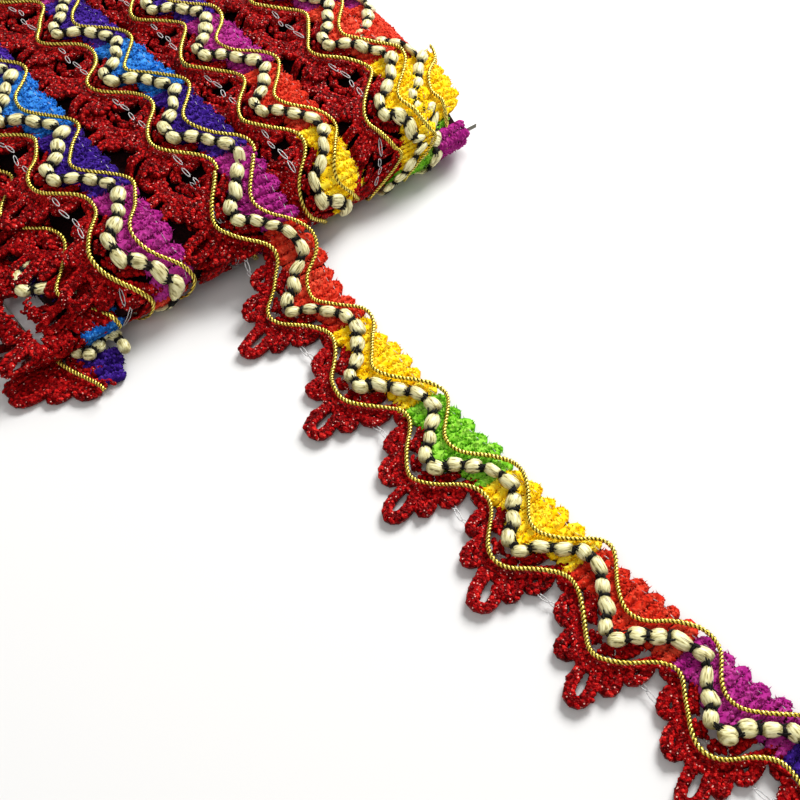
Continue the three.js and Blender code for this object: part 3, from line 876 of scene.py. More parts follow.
@dataclass(frozen=True)
class WoundLay(Lay):
    """One turn of the ribbon round the card.

    Attributes:
        drift: Middle line of the turn at each place of DRIFT_AT.
        phase: Length past the first crest's place at each place of PHASE_AT.
        seed: Seed of its small shifts.
        sink: How far it lies below the outer turns.
        tuck: Place across it below which its petals go under the turn before it.
        slope: How much its petals drop for each millimetre beyond the cord.
        lean: How much its tufts drop for each millimetre beyond the braid, at the front fold.
        drape: The same at every place, where they hang over the card's edge.
        outer_end: Whether the loose end leaves from it, so that it lies lower past that place.
        floor: Lowest height of anything on it.
        DRIFT_AT: Lengths from x = 0 on top at which the drift is given.
        PHASE_AT: Lengths at which the phase is given.
        LEAVE_X: x where the loose end starts to cover it.
        NOSE_X: x where the loose end has left it behind.
        BACK: Length behind x = 0 on top at which a turn's lengths start again.
        YARN_HEIGHT: Height of the tallest yarns above the line round the card.
    """

    drift: tuple[float, ...]
    phase: tuple[float, ...]
    seed: int
    sink: float = 0.0
    tuck: float = -BEYOND
    slope: float = 0.0
    lean: float = 0.0
    drape: float = 0.0
    outer_end: bool = False
    floor: float = 0.06

    DRIFT_AT: ClassVar[tuple[float, ...]] = (-60, -20, 20, 45, 57, 66, 77)
    PHASE_AT: ClassVar[tuple[float, ...]] = (-75, -50, -25, 0, 25, 45, 60, 76)
    LEAVE_X: ClassVar[float] = 49.7
    NOSE_X: ClassVar[float] = 62.5
    BACK: ClassVar[float] = 60
    YARN_HEIGHT: ClassVar[float] = 4.6

    def arc(self, along: np.ndarray) -> np.ndarray:
        """Lengths from x = 0 on top, brought into one turn that starts behind it."""
        return (along + self.BACK) % SECTION.length - self.BACK

    def along(self, w: np.ndarray) -> np.ndarray:
        """Length from x = 0 on top, for places along the ribbon from its first crest."""
        even = np.asarray(w, float) * SECTION.pitch / REPEAT
        return even + np.interp(even, self.PHASE_AT, self.phase, period=SECTION.length)

    def middle(self, along: np.ndarray) -> np.ndarray:
        """Middle line of the turn at lengths from x = 0 on top."""
        return np.interp(along, self.DRIFT_AT, self.drift, period=SECTION.length)

    def covered(self, w: np.ndarray) -> np.ndarray:
        """Whether the loose end lies over places along the ribbon."""
        arc = self.arc(self.along(w))
        return self.outer_end & (arc > SECTION.top_at(self.LEAVE_X)) & (arc < SECTION.top_at(self.NOSE_X))

    def place(self, q: np.ndarray) -> np.ndarray:
        """Puts places of the ribbon, measured from the turn's first crest, on the turn.

        Args:
            q: Places along, across and above it.

        Returns:
            The same places in the card's frame.
        """
        leave, nose = SECTION.top_at(self.LEAVE_X), SECTION.top_at(self.NOSE_X)
        gone = np.abs(self.arc(self.along(q[:, 0])) - leave)
        q = Wander(self.seed).move(q, smoothstep(gone, *FADE) if self.outer_end else 1.0)
        along = self.along(q[:, 0])
        x, z, out_x, out_z = SECTION.at(along)
        high = q[:, 2] - 2.6 * smoothstep(-q[:, 1], -self.tuck - 1.5, -self.tuck + 1.2)
        high = high - self.slope * np.maximum(0, -q[:, 1] - 6)
        high = high - (self.lean * smoothstep(x, 40, 52) + self.drape) * np.maximum(0, q[:, 1] - 3.5)
        room = np.where(out_z < 0, (z - self.floor) / np.maximum(-out_z, 1e-3), BEYOND)
        high = high * np.minimum(1, room / self.YARN_HEIGHT)
        high = high * (1 - 0.35 * smoothstep(x, 55, 61))
        high = high - self.sink * np.where(out_z > -0.2, np.clip((z - 7.4) / 3.0, 0, 1), 0)
        if self.outer_end:
            arc = self.arc(along)
            past = (arc > leave) & (arc < nose)
            f = np.clip((arc - leave) / (nose - leave), 0, 1)
            high = np.where(past, high * 0.5 - 3.5 * (1 - f), high)
            limit = LOOSE.line(x)[:, 2] - 0.6
            z = z - np.where(past, np.maximum(0, z + out_z * high - limit), 0)
        y = self.middle(along) + q[:, 1]
        place = np.stack([x + out_x * high, y, z + out_z * high], 1)
        place[:, 2] = np.maximum(place[:, 2], self.floor * 0.5)
        return place


LOOSE = LooseLay()


class Finish:
    """A finish that makes its own Blender material."""

    name: str

    def material(self) -> bpy.types.Material:
        """The finish's material, made once."""
        material = bpy.data.materials.get(self.name)
        if material is None:
            material = bpy.data.materials.new(self.name)
            material.use_nodes = True
            tree = material.node_tree
            tree.nodes.clear()
            node = partial(add_node, tree)
            shader = node("ShaderNodeBsdfPrincipled", self.surface(node))
            node("ShaderNodeOutputMaterial", {"Surface": shader})
        return material

    @staticmethod
    def read(node: NodeMaker) -> tuple[bpy.types.NodeSocket, ...]:
        """Adds the nodes for the three values of a place: Object coordinates, painted shade and lot."""
        detail = node("ShaderNodeAttribute", attribute_name="detail").outputs["Vector"]
        return (node("ShaderNodeTexCoord").outputs["Object"],
                node("ShaderNodeSeparateXYZ", {0: detail}).outputs["X"],
                node("ShaderNodeAttribute", attribute_name="lot").outputs["Fac"])

    def surface(self, node: NodeMaker) -> dict[str, Any]:
        """Adds the nodes of the finish.

        Args:
            node: Adds a node to the material, as add_node does.

        Returns:
            What each input of the shader gets that the finish sets, as add_node takes it.
        """
        raise NotImplementedError


@dataclass(frozen=True)
class RubyTinselYarn(Finish):
    """Crimson gimp yarn with a metallic filament: ruby facets from dark to bright, painted glints, painted
    shade.
    """

    name: str = "ruby_tinsel_gimp_yarn"
    dark: str = "#1E0102"
    body: str = "#7A0509"
    light: str = "#B80E12"
    bright: str = "#E8332C"
    # Colour of the painted glints: highlights of the filament, painted into the base colour.
    painted_glint: str = "#FFC0B0"
    tint: str = "#FF6A5A"
    cell: float = 0.46  # mm, facets of the filament: 0.25 mm in the yarn, drawn coarser to show
    # Share of the facets that carry a painted glint.
    painted_glint_share: float = 0.13
    ply: float = 0.9  # mm, one wrap of the yarn round its core
    facet: float = 0.38  # mm, the same facets in the bump
    relief: float = 0.25

    def surface(self, node: NodeMaker) -> dict[str, Any]:
        """Colour by stitch and by small facets, painted shade on the core, painted glints on some facets,
        and a knobbly bump.
        """
        place, shade, lot = self.read(node)
        cells = node("ShaderNodeTexVoronoi", {"Vector": place, "Scale": 1 / (self.cell * MM)})
        picks = node("ShaderNodeSeparateXYZ", {0: cells.outputs["Color"]})
        grain = node("ShaderNodeTexNoise", {
            "Vector": place, "Scale": 1 / (self.ply * MM), "Detail": 2.0, "Roughness": 0.6}).outputs["Fac"]
        slow = node("ShaderNodeMix", {0: 0.4, 2: grain, 3: lot})
        mixed = node("ShaderNodeMix", {0: 0.42, 2: slow, 3: picks.outputs["Y"]})
        # Painted shade: the core tube's lower shade pulls it towards the dark stop, between the stitches.
        deep = node("ShaderNodeMath", {0: mixed, 1: shade}, operation="MULTIPLY")
        colour = node("ShaderNodeValToRGB", {"Fac": deep}, [
            (0.14, self.dark), (0.42, self.body), (0.62, self.light), (0.82, self.bright)])
        unpicked = 1 - self.painted_glint_share
        chosen = node("ShaderNodeMath", {0: picks.outputs["X"], 1: unpicked}, operation="GREATER_THAN")
        near = node("ShaderNodeMath", {0: cells.outputs["Distance"], 1: 0.3}, operation="LESS_THAN")
        both = node("ShaderNodeMath", {0: chosen, 1: near}, operation="MULTIPLY")
        # Painted glints, at full strength only on the stitches.
        painted_glint_mask = node("ShaderNodeMath", {0: both, 1: shade}, operation="MULTIPLY")
        with_painted_glints = node("ShaderNodeMix", {0: painted_glint_mask, 6: colour, 7: srgb(self.painted_glint)}, data_type="RGBA")
        facets = node("ShaderNodeTexVoronoi", {"Vector": place, "Scale": 1 / (self.facet * MM)})
        bump = node("ShaderNodeBump", {
            "Strength": 0.9, "Distance": self.relief * MM, "Height": facets.outputs["Distance"]})
        return {"Base Color": with_painted_glints.outputs[2], "Normal": bump, "Roughness": 0.36,
                "Specular IOR Level": 0.12, "Specular Tint": srgb(self.tint)}


@dataclass(frozen=True)
class GoldCordFinish(Finish):
    """Metallised gold filament twisted over a core: painted highlights on its lobes, painted olive-brown
    shade in its grooves.
    """

    name: str = "gold_metallic_twist"
    # Painted shade in the twist's grooves; the bright stop is a painted highlight on its lobes.
    painted_groove_shade: str = "#3A2C02"
    body: str = "#DDB81E"
    bright: str = "#FFF080"
    grain: float = 0.4  # mm, wraps of the filament: 0.2 mm in the cord, drawn coarser to show

    def surface(self, node: NodeMaker) -> dict[str, Any]:
        """Colour by how far out a place of the twist is, as painted shade in the grooves and painted
        highlight on the lobes, with a fine grain.
        """
        place, lobe, _ = self.read(node)
        grain = node("ShaderNodeTexNoise", {"Vector": place, "Scale": 1 / (self.grain * MM), "Detail": 1.0})
        centred = node("ShaderNodeMath", {0: grain.outputs["Fac"], 1: 0.5}, operation="SUBTRACT")
        mixed = node("ShaderNodeMath", {0: centred, 1: 0.7, 2: lobe}, operation="MULTIPLY_ADD")
        colour = node("ShaderNodeValToRGB", {"Fac": mixed}, [
            (0.3, self.painted_groove_shade), (0.66, self.body), (0.98, self.bright)])
        return {"Base Color": colour, "Metallic": 0.75, "Roughness": 0.3}


@dataclass(frozen=True)
class SatinFinish(Finish):
    """Ivory satin braid: smooth floats with painted sheen across them, painted khaki shade between them and
    at the bead ends.
    """

    name: str = "ivory_satin_braid"
    shade: str = "#7C6E34"
    body: str = "#D6CB8C"
    light: str = "#FBF5BE"
    # Painted shade towards each bead's ends, where the ties pinch it.
    end: str = "#7A6C34"
    lots_apart: float = 37.0
    # Streaks of painted sheen and shade for each mm along, across and through a bead: threads of 0.1 mm,
    # drawn coarser to show
    streak: tuple[float, float, float] = (0.45, 2.6, 2.0)

    def surface(self, node: NodeMaker) -> dict[str, Any]:
        """Streaks of painted sheen and shade along each bead, read from its own coordinates, and painted
        shade at its ends.
        """
        own = node("ShaderNodeAttribute", attribute_name="detail").outputs["Vector"]
        lot = node("ShaderNodeAttribute", attribute_name="lot").outputs["Fac"]
        far = node("ShaderNodeMath", {0: lot, 1: self.lots_apart}, operation="MULTIPLY")
        lift = node("ShaderNodeCombineXYZ", {0: far})
        apart = node("ShaderNodeVectorMath", {0: own, 1: lift}, operation="ADD")
        drawn = node("ShaderNodeMapping", {"Vector": apart, "Scale": self.streak})
        floats = node("ShaderNodeTexNoise", {"Vector": drawn, "Scale": 1.0, "Detail": 2.0})
        colour = node("ShaderNodeValToRGB", {"Fac": floats.outputs["Fac"]}, [
            (0.32, self.shade), (0.45, self.body), (0.62, self.light)])
        reach = node("ShaderNodeSeparateXYZ", {0: own}).outputs["X"]
        far_end = node("ShaderNodeMath", {0: reach}, operation="ABSOLUTE")
        # Painted shade: each bead darkens towards its ends.
        dark = node("ShaderNodeMapRange", {
            "Value": far_end, "From Min": 0.9, "From Max": 1.85, "To Min": 0.0, "To Max": 0.85})
        painted_end_shade = node("ShaderNodeMix", {0: dark, 6: colour, 7: srgb(self.end)}, data_type="RGBA")
        bump = node("ShaderNodeBump", {
            "Strength": 0.5, "Distance": 0.15 * MM, "Height": floats.outputs["Fac"]})
        return {"Base Color": painted_end_shade.outputs[2], "Normal": bump, "Roughness": 0.38,
                "Specular IOR Level": 0.55, "Sheen Weight": 0.25, "Sheen Roughness": 0.4}


@dataclass(frozen=True)
class ThreadFinish(Finish):
    """Plain spun thread: a matt colour that varies a little along it."""

    name: str
    dark: str
    light: str
    rough: float
    fibre: float = 0.5  # mm, patches of tone: a fibre of 0.02 mm is too fine to show

    def surface(self, node: NodeMaker) -> dict[str, Any]:
        """Two close tones at the scale of the thread's fibres."""
        place = node("ShaderNodeTexCoord").outputs["Object"]
        grain = node("ShaderNodeTexNoise", {"Vector": place, "Scale": 1 / (self.fibre * MM), "Detail": 2.0})
        colour = node("ShaderNodeValToRGB", {"Fac": grain.outputs["Fac"]}, [
            (0.35, self.dark), (0.65, self.light)])
        bump = node("ShaderNodeBump", {
            "Strength": 0.5, "Distance": 0.1 * MM, "Height": grain.outputs["Fac"]})
        return {"Base Color": colour, "Normal": bump, "Roughness": self.rough,
                "Specular IOR Level": 0.12}


@dataclass(frozen=True)
class ChenilleFinish(Finish):
    """Cut pile chenille yarn: matt, saturated tips over a deeper painted shade low between the tufts, uneven
    from hair to hair.
    """

    name: str
    deep: str
    body: str
    tip: str
    patch: float = 1.6  # mm, patches of pile that lean the same way

    def surface(self, node: NodeMaker) -> dict[str, Any]:
        """Tone by hair and by patches of pile a millimetre or two across, darkened by the pile's painted
        shade.
        """
        place, shade, lot = self.read(node)
        patch = node("ShaderNodeTexNoise", {"Vector": place, "Scale": 1 / (self.patch * MM), "Detail": 3.0})
        mixed = node("ShaderNodeMix", {0: 0.28, 2: patch.outputs["Fac"], 3: lot})
        # Painted shade: the tone falls towards the deep stop where the pile is low.
        tone = node("ShaderNodeMath", {0: mixed, 1: shade}, operation="MULTIPLY")
        colour = node("ShaderNodeValToRGB", {"Fac": tone}, [
            (0.16, self.deep), (0.4, self.body), (0.72, self.tip)])
        return {"Base Color": colour, "Roughness": 0.9, "Specular IOR Level": 0.02, "Sheen Weight": 0.04,
                "Sheen Roughness": 0.5}


@dataclass(frozen=True)
class NylonFinish(Finish):
    """Clear nylon monofilament, which reads as a thin white line."""

    name: str = "clear_nylon_filament"
    shade: str = "#A8A6A6"
    light: str = "#DCDAD8"
    spread: float = 0.8  # mm, length of a lighter stretch

    def surface(self, node: NodeMaker) -> dict[str, Any]:
        """Faint uneven white."""
        place = node("ShaderNodeTexCoord").outputs["Object"]
        grain = node("ShaderNodeTexNoise", {"Vector": place, "Scale": 1 / (self.spread * MM)})
        colour = node("ShaderNodeValToRGB", {"Fac": grain.outputs["Fac"]}, [
            (0.3, self.shade), (0.7, self.light)])
        return {"Base Color": colour, "Roughness": 0.2, "Transmission Weight": 0.1, "IOR": 1.53}


@dataclass(frozen=True)
class CardFinish(Finish):
    """White coated card: smooth and matt, with a faint fibre mottle and grey board at its cut edge, darkened
    as painted shade.
    """

    name: str = "white_coated_card"
    shade: str = "#ECEBEA"
    light: str = "#F8F8F8"
    edge: str = "#6C6A5C"
    fibre: float = 1.5  # mm, flocks of fibre in the board

    def surface(self, node: NodeMaker) -> dict[str, Any]:
        """Fibre mottle, a slight tooth and the grey of the cut edge, which is grey board and painted shade
        both.
        """
        place = node("ShaderNodeTexCoord").outputs["Object"]
        fibre = node("ShaderNodeTexNoise", {"Vector": place, "Scale": 1 / (self.fibre * MM), "Detail": 4.0})
        colour = node("ShaderNodeValToRGB", {"Fac": fibre.outputs["Fac"]}, [
            (0.35, self.shade), (0.65, self.light)])
        # The side faces get the edge colour: the board's own grey, darker still as painted shade.
        facing = node("ShaderNodeSeparateXYZ", {
            0: node("ShaderNodeNewGeometry").outputs["True Normal"]}).outputs["Z"]
        level = node("ShaderNodeMath", {0: facing}, operation="ABSOLUTE")
        cut = node("ShaderNodeMath", {0: level, 1: 0.5}, operation="LESS_THAN")
        edge_and_painted_shade = node("ShaderNodeMix", {0: cut, 6: colour, 7: srgb(self.edge)}, data_type="RGBA")
        bump = node("ShaderNodeBump", {
            "Strength": 0.25, "Distance": 0.1 * MM, "Height": fibre.outputs["Fac"]})
        return {"Base Color": edge_and_painted_shade.outputs[2], "Normal": bump, "Roughness": 0.6}


@dataclass(frozen=True)
class BackdropFinish(Finish):
    """White paper backdrop: plain and matt, so that only the object's shadow shows on it."""

    name: str = "white_paper_backdrop"
    tone: str = "#E2E1DF"

    def surface(self, node: NodeMaker) -> dict[str, Any]:
        """The same matt white all over."""
        return {"Base Color": srgb(self.tone), "Roughness": 0.9, "Specular IOR Level": 0.1}


class PileColour(Enum):
    """Chenille colours of the trim: deep, the colour of the painted shade low between the tufts, body and
    tip.
    """

    MAGENTA = ("#54083E", "#A01C7A", "#C4489C")
    RED = ("#821208", "#CE2814", "#EA5C40")
    YELLOW = ("#C88800", "#FFD000", "#FFF04C")
    GREEN = ("#2C6A04", "#6CBC1A", "#B4E85C")
    PURPLE = ("#0E0428", "#2E1070", "#5C38B0")
    BLUE = ("#062C5C", "#1464C0", "#4CA0EC")

    @property
    def piece(self) -> str:
        """Name of the wound chenille of this colour."""
        return f"pile_{self.name.lower()}"

    def finish(self) -> ChenilleFinish:
        """The colour's chenille finish."""
        return ChenilleFinish(f"{self.name.lower()}_chenille_pile", *self.value)


# Order of the colours along the ribbon.
CYCLE = (
    PileColour.GREEN, PileColour.YELLOW, PileColour.RED, PileColour.MAGENTA, PileColour.PURPLE,
    PileColour.BLUE, PileColour.PURPLE, PileColour.MAGENTA, PileColour.RED, PileColour.YELLOW,
)


class Fineness(Enum):
    """How finely a stretch of the ribbon is made."""

    FINE = "fine"
    PLAIN = "plain"


def ellipsoid(half: tuple[float, float, float], around: int, rings: int) -> Flat:
    """Closed ellipsoid of few faces.

    Args:
        half: Its half sizes along X, Y and Z.
        around: Corners of each ring round X.
        rings: How many rings it has between its two ends.

    Returns:
        The ellipsoid, with its own coordinates as its detail.
    """
    angle = TAU * np.arange(around) / around
    verts = [(-1.0, 0.0, 0.0)]
    for r in range(rings):
        turn = math.pi * (r + 1) / (rings + 1)
        wide = math.sin(turn)
        verts += [(-math.cos(turn), wide * math.cos(a), wide * math.sin(a)) for a in angle]
    verts.append((1.0, 0.0, 0.0))
    tris = [(0, 1 + (k + 1) % around, 1 + k) for k in range(around)]
    for r in range(rings - 1):
        a = 1 + r * around
        for k in range(around):
            j = (k + 1) % around
            tris += [(a + k, a + j, a + around + k), (a + j, a + around + j, a + around + k)]
    a, last = 1 + (rings - 1) * around, len(verts) - 1
    tris += [(a + k, a + (k + 1) % around, last) for k in range(around)]
    v = np.array(verts) * np.array(half)
    return Flat(v, np.array(tris), v.copy(), np.zeros(len(v)))


@dataclass
class GimpRepeat:
    """Petals and web of one repeat, crocheted from gimp yarn: a core cord with two rows of stitches.

    A row lies at a share of the cord's half width from its middle, seated at a share of its half height, and
    the two are staggered along it. Stitches slant out from the cord and dip, and they sway and jitter from
    one to the next. The web's cords are narrower and lie higher than the petals'.
    """

    scatter: ScatterTree
    half: float = 1.4
    thick: float = 1.05
    stitch: tuple[float, float, float] = (0.76, 0.54, 0.42)
    scale: tuple[float, float] = (0.85, 1.2)
    pitch: float = 1.0
    row: float = 0.47
    stagger: float = 0.25
    seat: float = 0.48
    slant: float = 0.55
    sway: float = 0.14
    jitter: float = 0.07
    dip: float = 0.35
    web_share: tuple[float, float] = (0.95, 1.1)
    cord_share: float = 0.86

    def build(self, fineness: Fineness, seed: int, keep: Keep | None = None) -> Flat:
        """Gimp of one repeat.

        Args:
            fineness: Stitches are left out where it is plain.
            seed: Seed of the stitches' small differences.
            keep: Tells which points of the yarns' middle lines are made, all when it is left out.

        Returns:
            The repeat's gimp in flat coordinates.
        """
        draw = np.random.default_rng(seed)
        fine = fineness is Fineness.FINE
        parts: list[Flat] = []
        centres, heading, rise, size = [], [], [], []
        wide, tall = self.web_share
        guides = [(g, self.half, TRIM.gimp_height) for g in PETAL_LOOPS]
        guides += [(g, self.half * wide, TRIM.gimp_height * tall) for g in WEB_FILLS]
        for guide, half, height in guides:
            path = smooth(guide, 0.9 if fine else 1.7)
            plump = np.ones(len(path)) * (self.cord_share if fine else 1.0)
            plump[[0, -1]] *= 0.7
            lot = float(draw.random())
            for line, full in runs(path, keep, plump):
                centre = np.column_stack([line, np.full(len(line), height)])
                # Painted shade: the core tube carries a lower shade, so it is darker between the stitches.
                parts.append(tube(centre, half * full, self.thick * full, 6 if fine else 5, lot, 0.7))
            if not fine:
                continue
            rows = smooth(guide, self.pitch)
            ahead = unit(np.gradient(rows, axis=0))
            side = np.stack([-ahead[:, 1], ahead[:, 0]], 1)
            inside = np.ones(len(rows), bool) if keep is None else keep(rows)
            for sign in (-1.0, 1.0):
                jitter = draw.normal(0, self.jitter, rows.shape)
                spot = rows + side * sign * half * self.row + ahead * (self.stagger * sign) + jitter
                turn = self.slant + draw.normal(0, self.sway, len(rows))
                way = ahead * np.cos(turn)[:, None] + side * sign * np.sin(turn)[:, None]
                lift = height + self.thick * self.seat + draw.normal(0, self.jitter, len(rows))
                centres.append(np.column_stack([spot, lift])[inside])
                heading.append(np.column_stack([way, np.full(len(rows), -self.dip)])[inside])
                rise.append(np.column_stack([side * sign * 0.5, np.ones(len(rows))])[inside])
                size.append(draw.uniform(*self.scale, (len(rows), 3))[inside])
        if fine and sum(map(len, centres)):
            shape = ellipsoid(self.stitch, 5, 2)
            # The stitches carry full tone, with no painted shade.
            shape.detail[:] = (1.0, 0, 0)
            parts.append(self.scatter.scatter(
                shape, *(np.vstack(v) for v in (centres, heading, rise, size)), seed))
        return Flat.join(parts)


@dataclass
class PileRepeat:
    """Chenille of one repeat: tufts side by side, each one a loop of yarn that runs up and back.

    Hairs and knobs are counted for each square millimetre, and grow above one height. They are thicker and
    fewer than the real pile, which is too fine to show.
    """

    hairs: PileTree
    knobs: PileTree
    radius: float = 0.98
    height: float = 1.05
    foot: float = 0.16
    ring: float = 0.75
    lump: float = 0.1
    hair_density: float = 1.25
    hair: float = 0.78
    hair_width: float = 0.15
    knob_density: float = 1.25
    knob: float = 0.4
    grown_above: float = 0.75

    def build(self, fineness: Fineness, seed: int, tufts: Sequence[int], keep: Keep | None = None) -> Flat:
        """Chenille of one repeat.

        Args:
            fineness: Hairs and knobs are left out where it is plain.
            seed: Seed of lumps, hairs and knobs.
            tufts: Which tufts to make.
            keep: Tells which points of the yarn's middle line are made, all when it is left out.

        Returns:
            The repeat's chenille in flat coordinates.
        """
        draw = np.random.default_rng(seed)
        fine = fineness is Fineness.FINE
        pitch = REPEAT / TRIM.tufts
        columns: list[Flat] = []
        for k in tufts:
            middle = TRIM.first_tuft + pitch * k
            offset = pitch / 4
            top = TRIM.pile_edge - self.radius - offset * 0.55 + draw.normal(0, 0.22)
            lean = draw.normal(0, 0.12)
            roots = [float(TRIM.web_top(middle + sign * offset)) - 0.1 for sign in (-1, 1)]
            guide = [(middle - offset, roots[0]), (middle - offset + lean * 0.5, (roots[0] + top) / 2),
                     (middle - offset * 0.95 + lean, top - 0.8), (middle + lean, top + offset * 0.55),
                     (middle + offset * 0.95 + lean, top - 0.8),
                     (middle + offset + lean * 0.5, (roots[1] + top) / 2), (middle + offset, roots[1])]
            path = smooth(guide, self.ring if fine else 1.6)
            count = len(path)
            lumps = 1 + self.lump * np.sin(np.arange(count) * 2.6 + draw.uniform(0, TAU))
            lumps = lumps + draw.normal(0, 0.05, count)
            lumps[[0, -1]] = 0.6
            high = self.height * (1 - 0.35 * smoothstep(path[:, 1], top - 1.5, top + 0.6))
            centre = np.column_stack([path, self.foot + high + draw.normal(0, 0.04, count)])
            lot = float(draw.random())
            for line, full, tall in runs(centre, keep, lumps, high):
                columns.append(tube(line, self.radius * full, tall * full, 7 if fine else 5, lot, 0.85))
        parts = [Flat.join(columns)]
        if fine:
            shown = parts[0].kept(parts[0].verts[:, 2] > self.grown_above)
            parts.append(self.hairs.pile(shown, self.hair_density, self.hair, self.hair_width, seed))
            parts.append(self.knobs.pile(shown, self.knob_density, self.hair, self.knob, seed + 3))
        whole = Flat.join(parts)
        # Painted shade: the pile is darker low down, between the tufts, than at their tops.
        whole.detail[:, 0] = 0.42 + 0.58 * smoothstep(whole.verts[:, 2], 0.7, 2.0)
        return whole


@dataclass
class BraidRepeat:
    """Satin braid: plump beads at a pitch, with a black thread tied round between them, ragged in shreds."""

    scatter: ScatterTree
    bead: tuple[float, float, float] = (2.02, 1.5, 1.15)
    pitch: float = 3.7
    tie: tuple[float, float, float] = (0.5, 1.06, 0.98)
    shred: tuple[float, float, float] = (0.78, 0.19, 0.16)
    shreds: int = 5

    def beads(self, centres: np.ndarray, fineness: Fineness, seed: int) -> Flat:
        """Beads along a path, tilted to one side and the other in turn.

        Args:
            centres: Centres of the beads.
            fineness: How finely they are made.
            seed: Seed of their small differences.

        Returns:
            The beads as one mesh.
        """
        draw = np.random.default_rng(seed)
        ahead = unit(np.gradient(centres, axis=0))
        fine = fineness is Fineness.FINE
        shape = ellipsoid(self.bead, 9 if fine else 6, 5 if fine else 3)
        out = np.abs(shape.verts[:, 0] / self.bead[0])
        shape.verts[:, 0] *= (1 - 0.1 * out**2)
        shape.verts[:, 1:] *= (np.maximum(1 - out**2, 0.001) ** -0.12)[:, None].clip(1, 1.3)
        size = draw.uniform(0.86, 1.1, (len(centres), 3))
        tilt = 0.24 * np.where(np.arange(len(centres)) % 2, 1, -1) + draw.normal(0, 0.12, len(centres))
        ahead = ahead + beside(ahead) * tilt[:, None]
        gaps = np.linalg.norm(np.diff(centres, axis=0), axis=1)
        reach = np.r_[gaps[:1], (gaps[1:] + gaps[:-1]) / 2, gaps[-1:]]
        size[:, 0] = np.clip(reach / self.pitch, 0.8, 1.12)
        return self.scatter.scatter(shape, centres, ahead, UP, size, seed)

    def ties(self, centres: np.ndarray, fineness: Fineness, seed: int) -> Flat:
        """Black ties halfway between the beads: a short ring and ragged thread ends along the beads.

        Args:
            centres: Centres of the beads.
            fineness: How finely the ties are made.
            seed: Seed of their small differences.

        Returns:
            The ties as one mesh.
        """
        draw = np.random.default_rng(seed + 5)
        middle = (centres[1:] + centres[:-1]) / 2
        ahead = unit(np.diff(centres, axis=0))
        turn = draw.normal(0, 0.45, len(middle))
        side = beside(ahead)
        heading = unit(ahead * np.cos(turn)[:, None] + side * np.sin(turn)[:, None])
        fine = fineness is Fineness.FINE
        ring = ellipsoid(self.tie, 8 if fine else 6, 3 if fine else 2)
        size = draw.uniform(0.9, 1.15, (len(middle), 3))
        parts = [self.scatter.scatter(ring, middle, heading, UP, size, seed)]
        if fine:
            spots, ways, sizes = [], [], []
            for _ in range(self.shreds):
                around = draw.uniform(-1.3, 1.3, len(middle))
                spot = middle + side * (np.sin(around) * 1.08)[:, None]
                spot[:, 2] += np.cos(around) * 0.9
                spots.append(spot + ahead * draw.uniform(-0.6, 0.6, (len(middle), 1)))
                ways.append(ahead + side * draw.normal(0, 0.55, (len(middle), 1)))
                long = draw.uniform(0.5, 1.5, len(middle))
                sizes.append(np.column_stack([long, np.ones((len(middle), 2))]))
            parts.append(self.scatter.scatter(
                ellipsoid(self.shred, 4, 2), np.vstack(spots), np.vstack(ways), UP, np.vstack(sizes), seed))
        return Flat.join(parts)


@dataclass
class TwistCord:
    """Gold twisted cord along any flat path."""

    tree: TwistTree
    pitch: float = 1.5
    waist: float = 0.52

    def build(self, path: np.ndarray, fineness: Fineness) -> Flat:
        """Grows the cord along a path.

        Args:
            path: Points of its middle line.
            fineness: How finely it is made.

        Returns:
            The cord's mesh.
        """
        curve = bpy.data.curves.new("cord_path", "CURVE")
        curve.dimensions = "3D"
        spline = curve.splines.new("POLY")
        spline.points.add(len(path) - 1)
        spline.points.foreach_set("co", np.column_stack([path, np.ones(len(path))]).ravel())
        fine = fineness is Fineness.FINE
        grown = self.tree.grow(curve, {
            "Pitch": self.pitch, "Rings": 5.0 if fine else 1.0, "Radius": TRIM.cord_radius,
            "Waist": self.waist if fine else 0.95, "Corners": 6 if fine else 5})
        bpy.data.curves.remove(curve)
        return grown


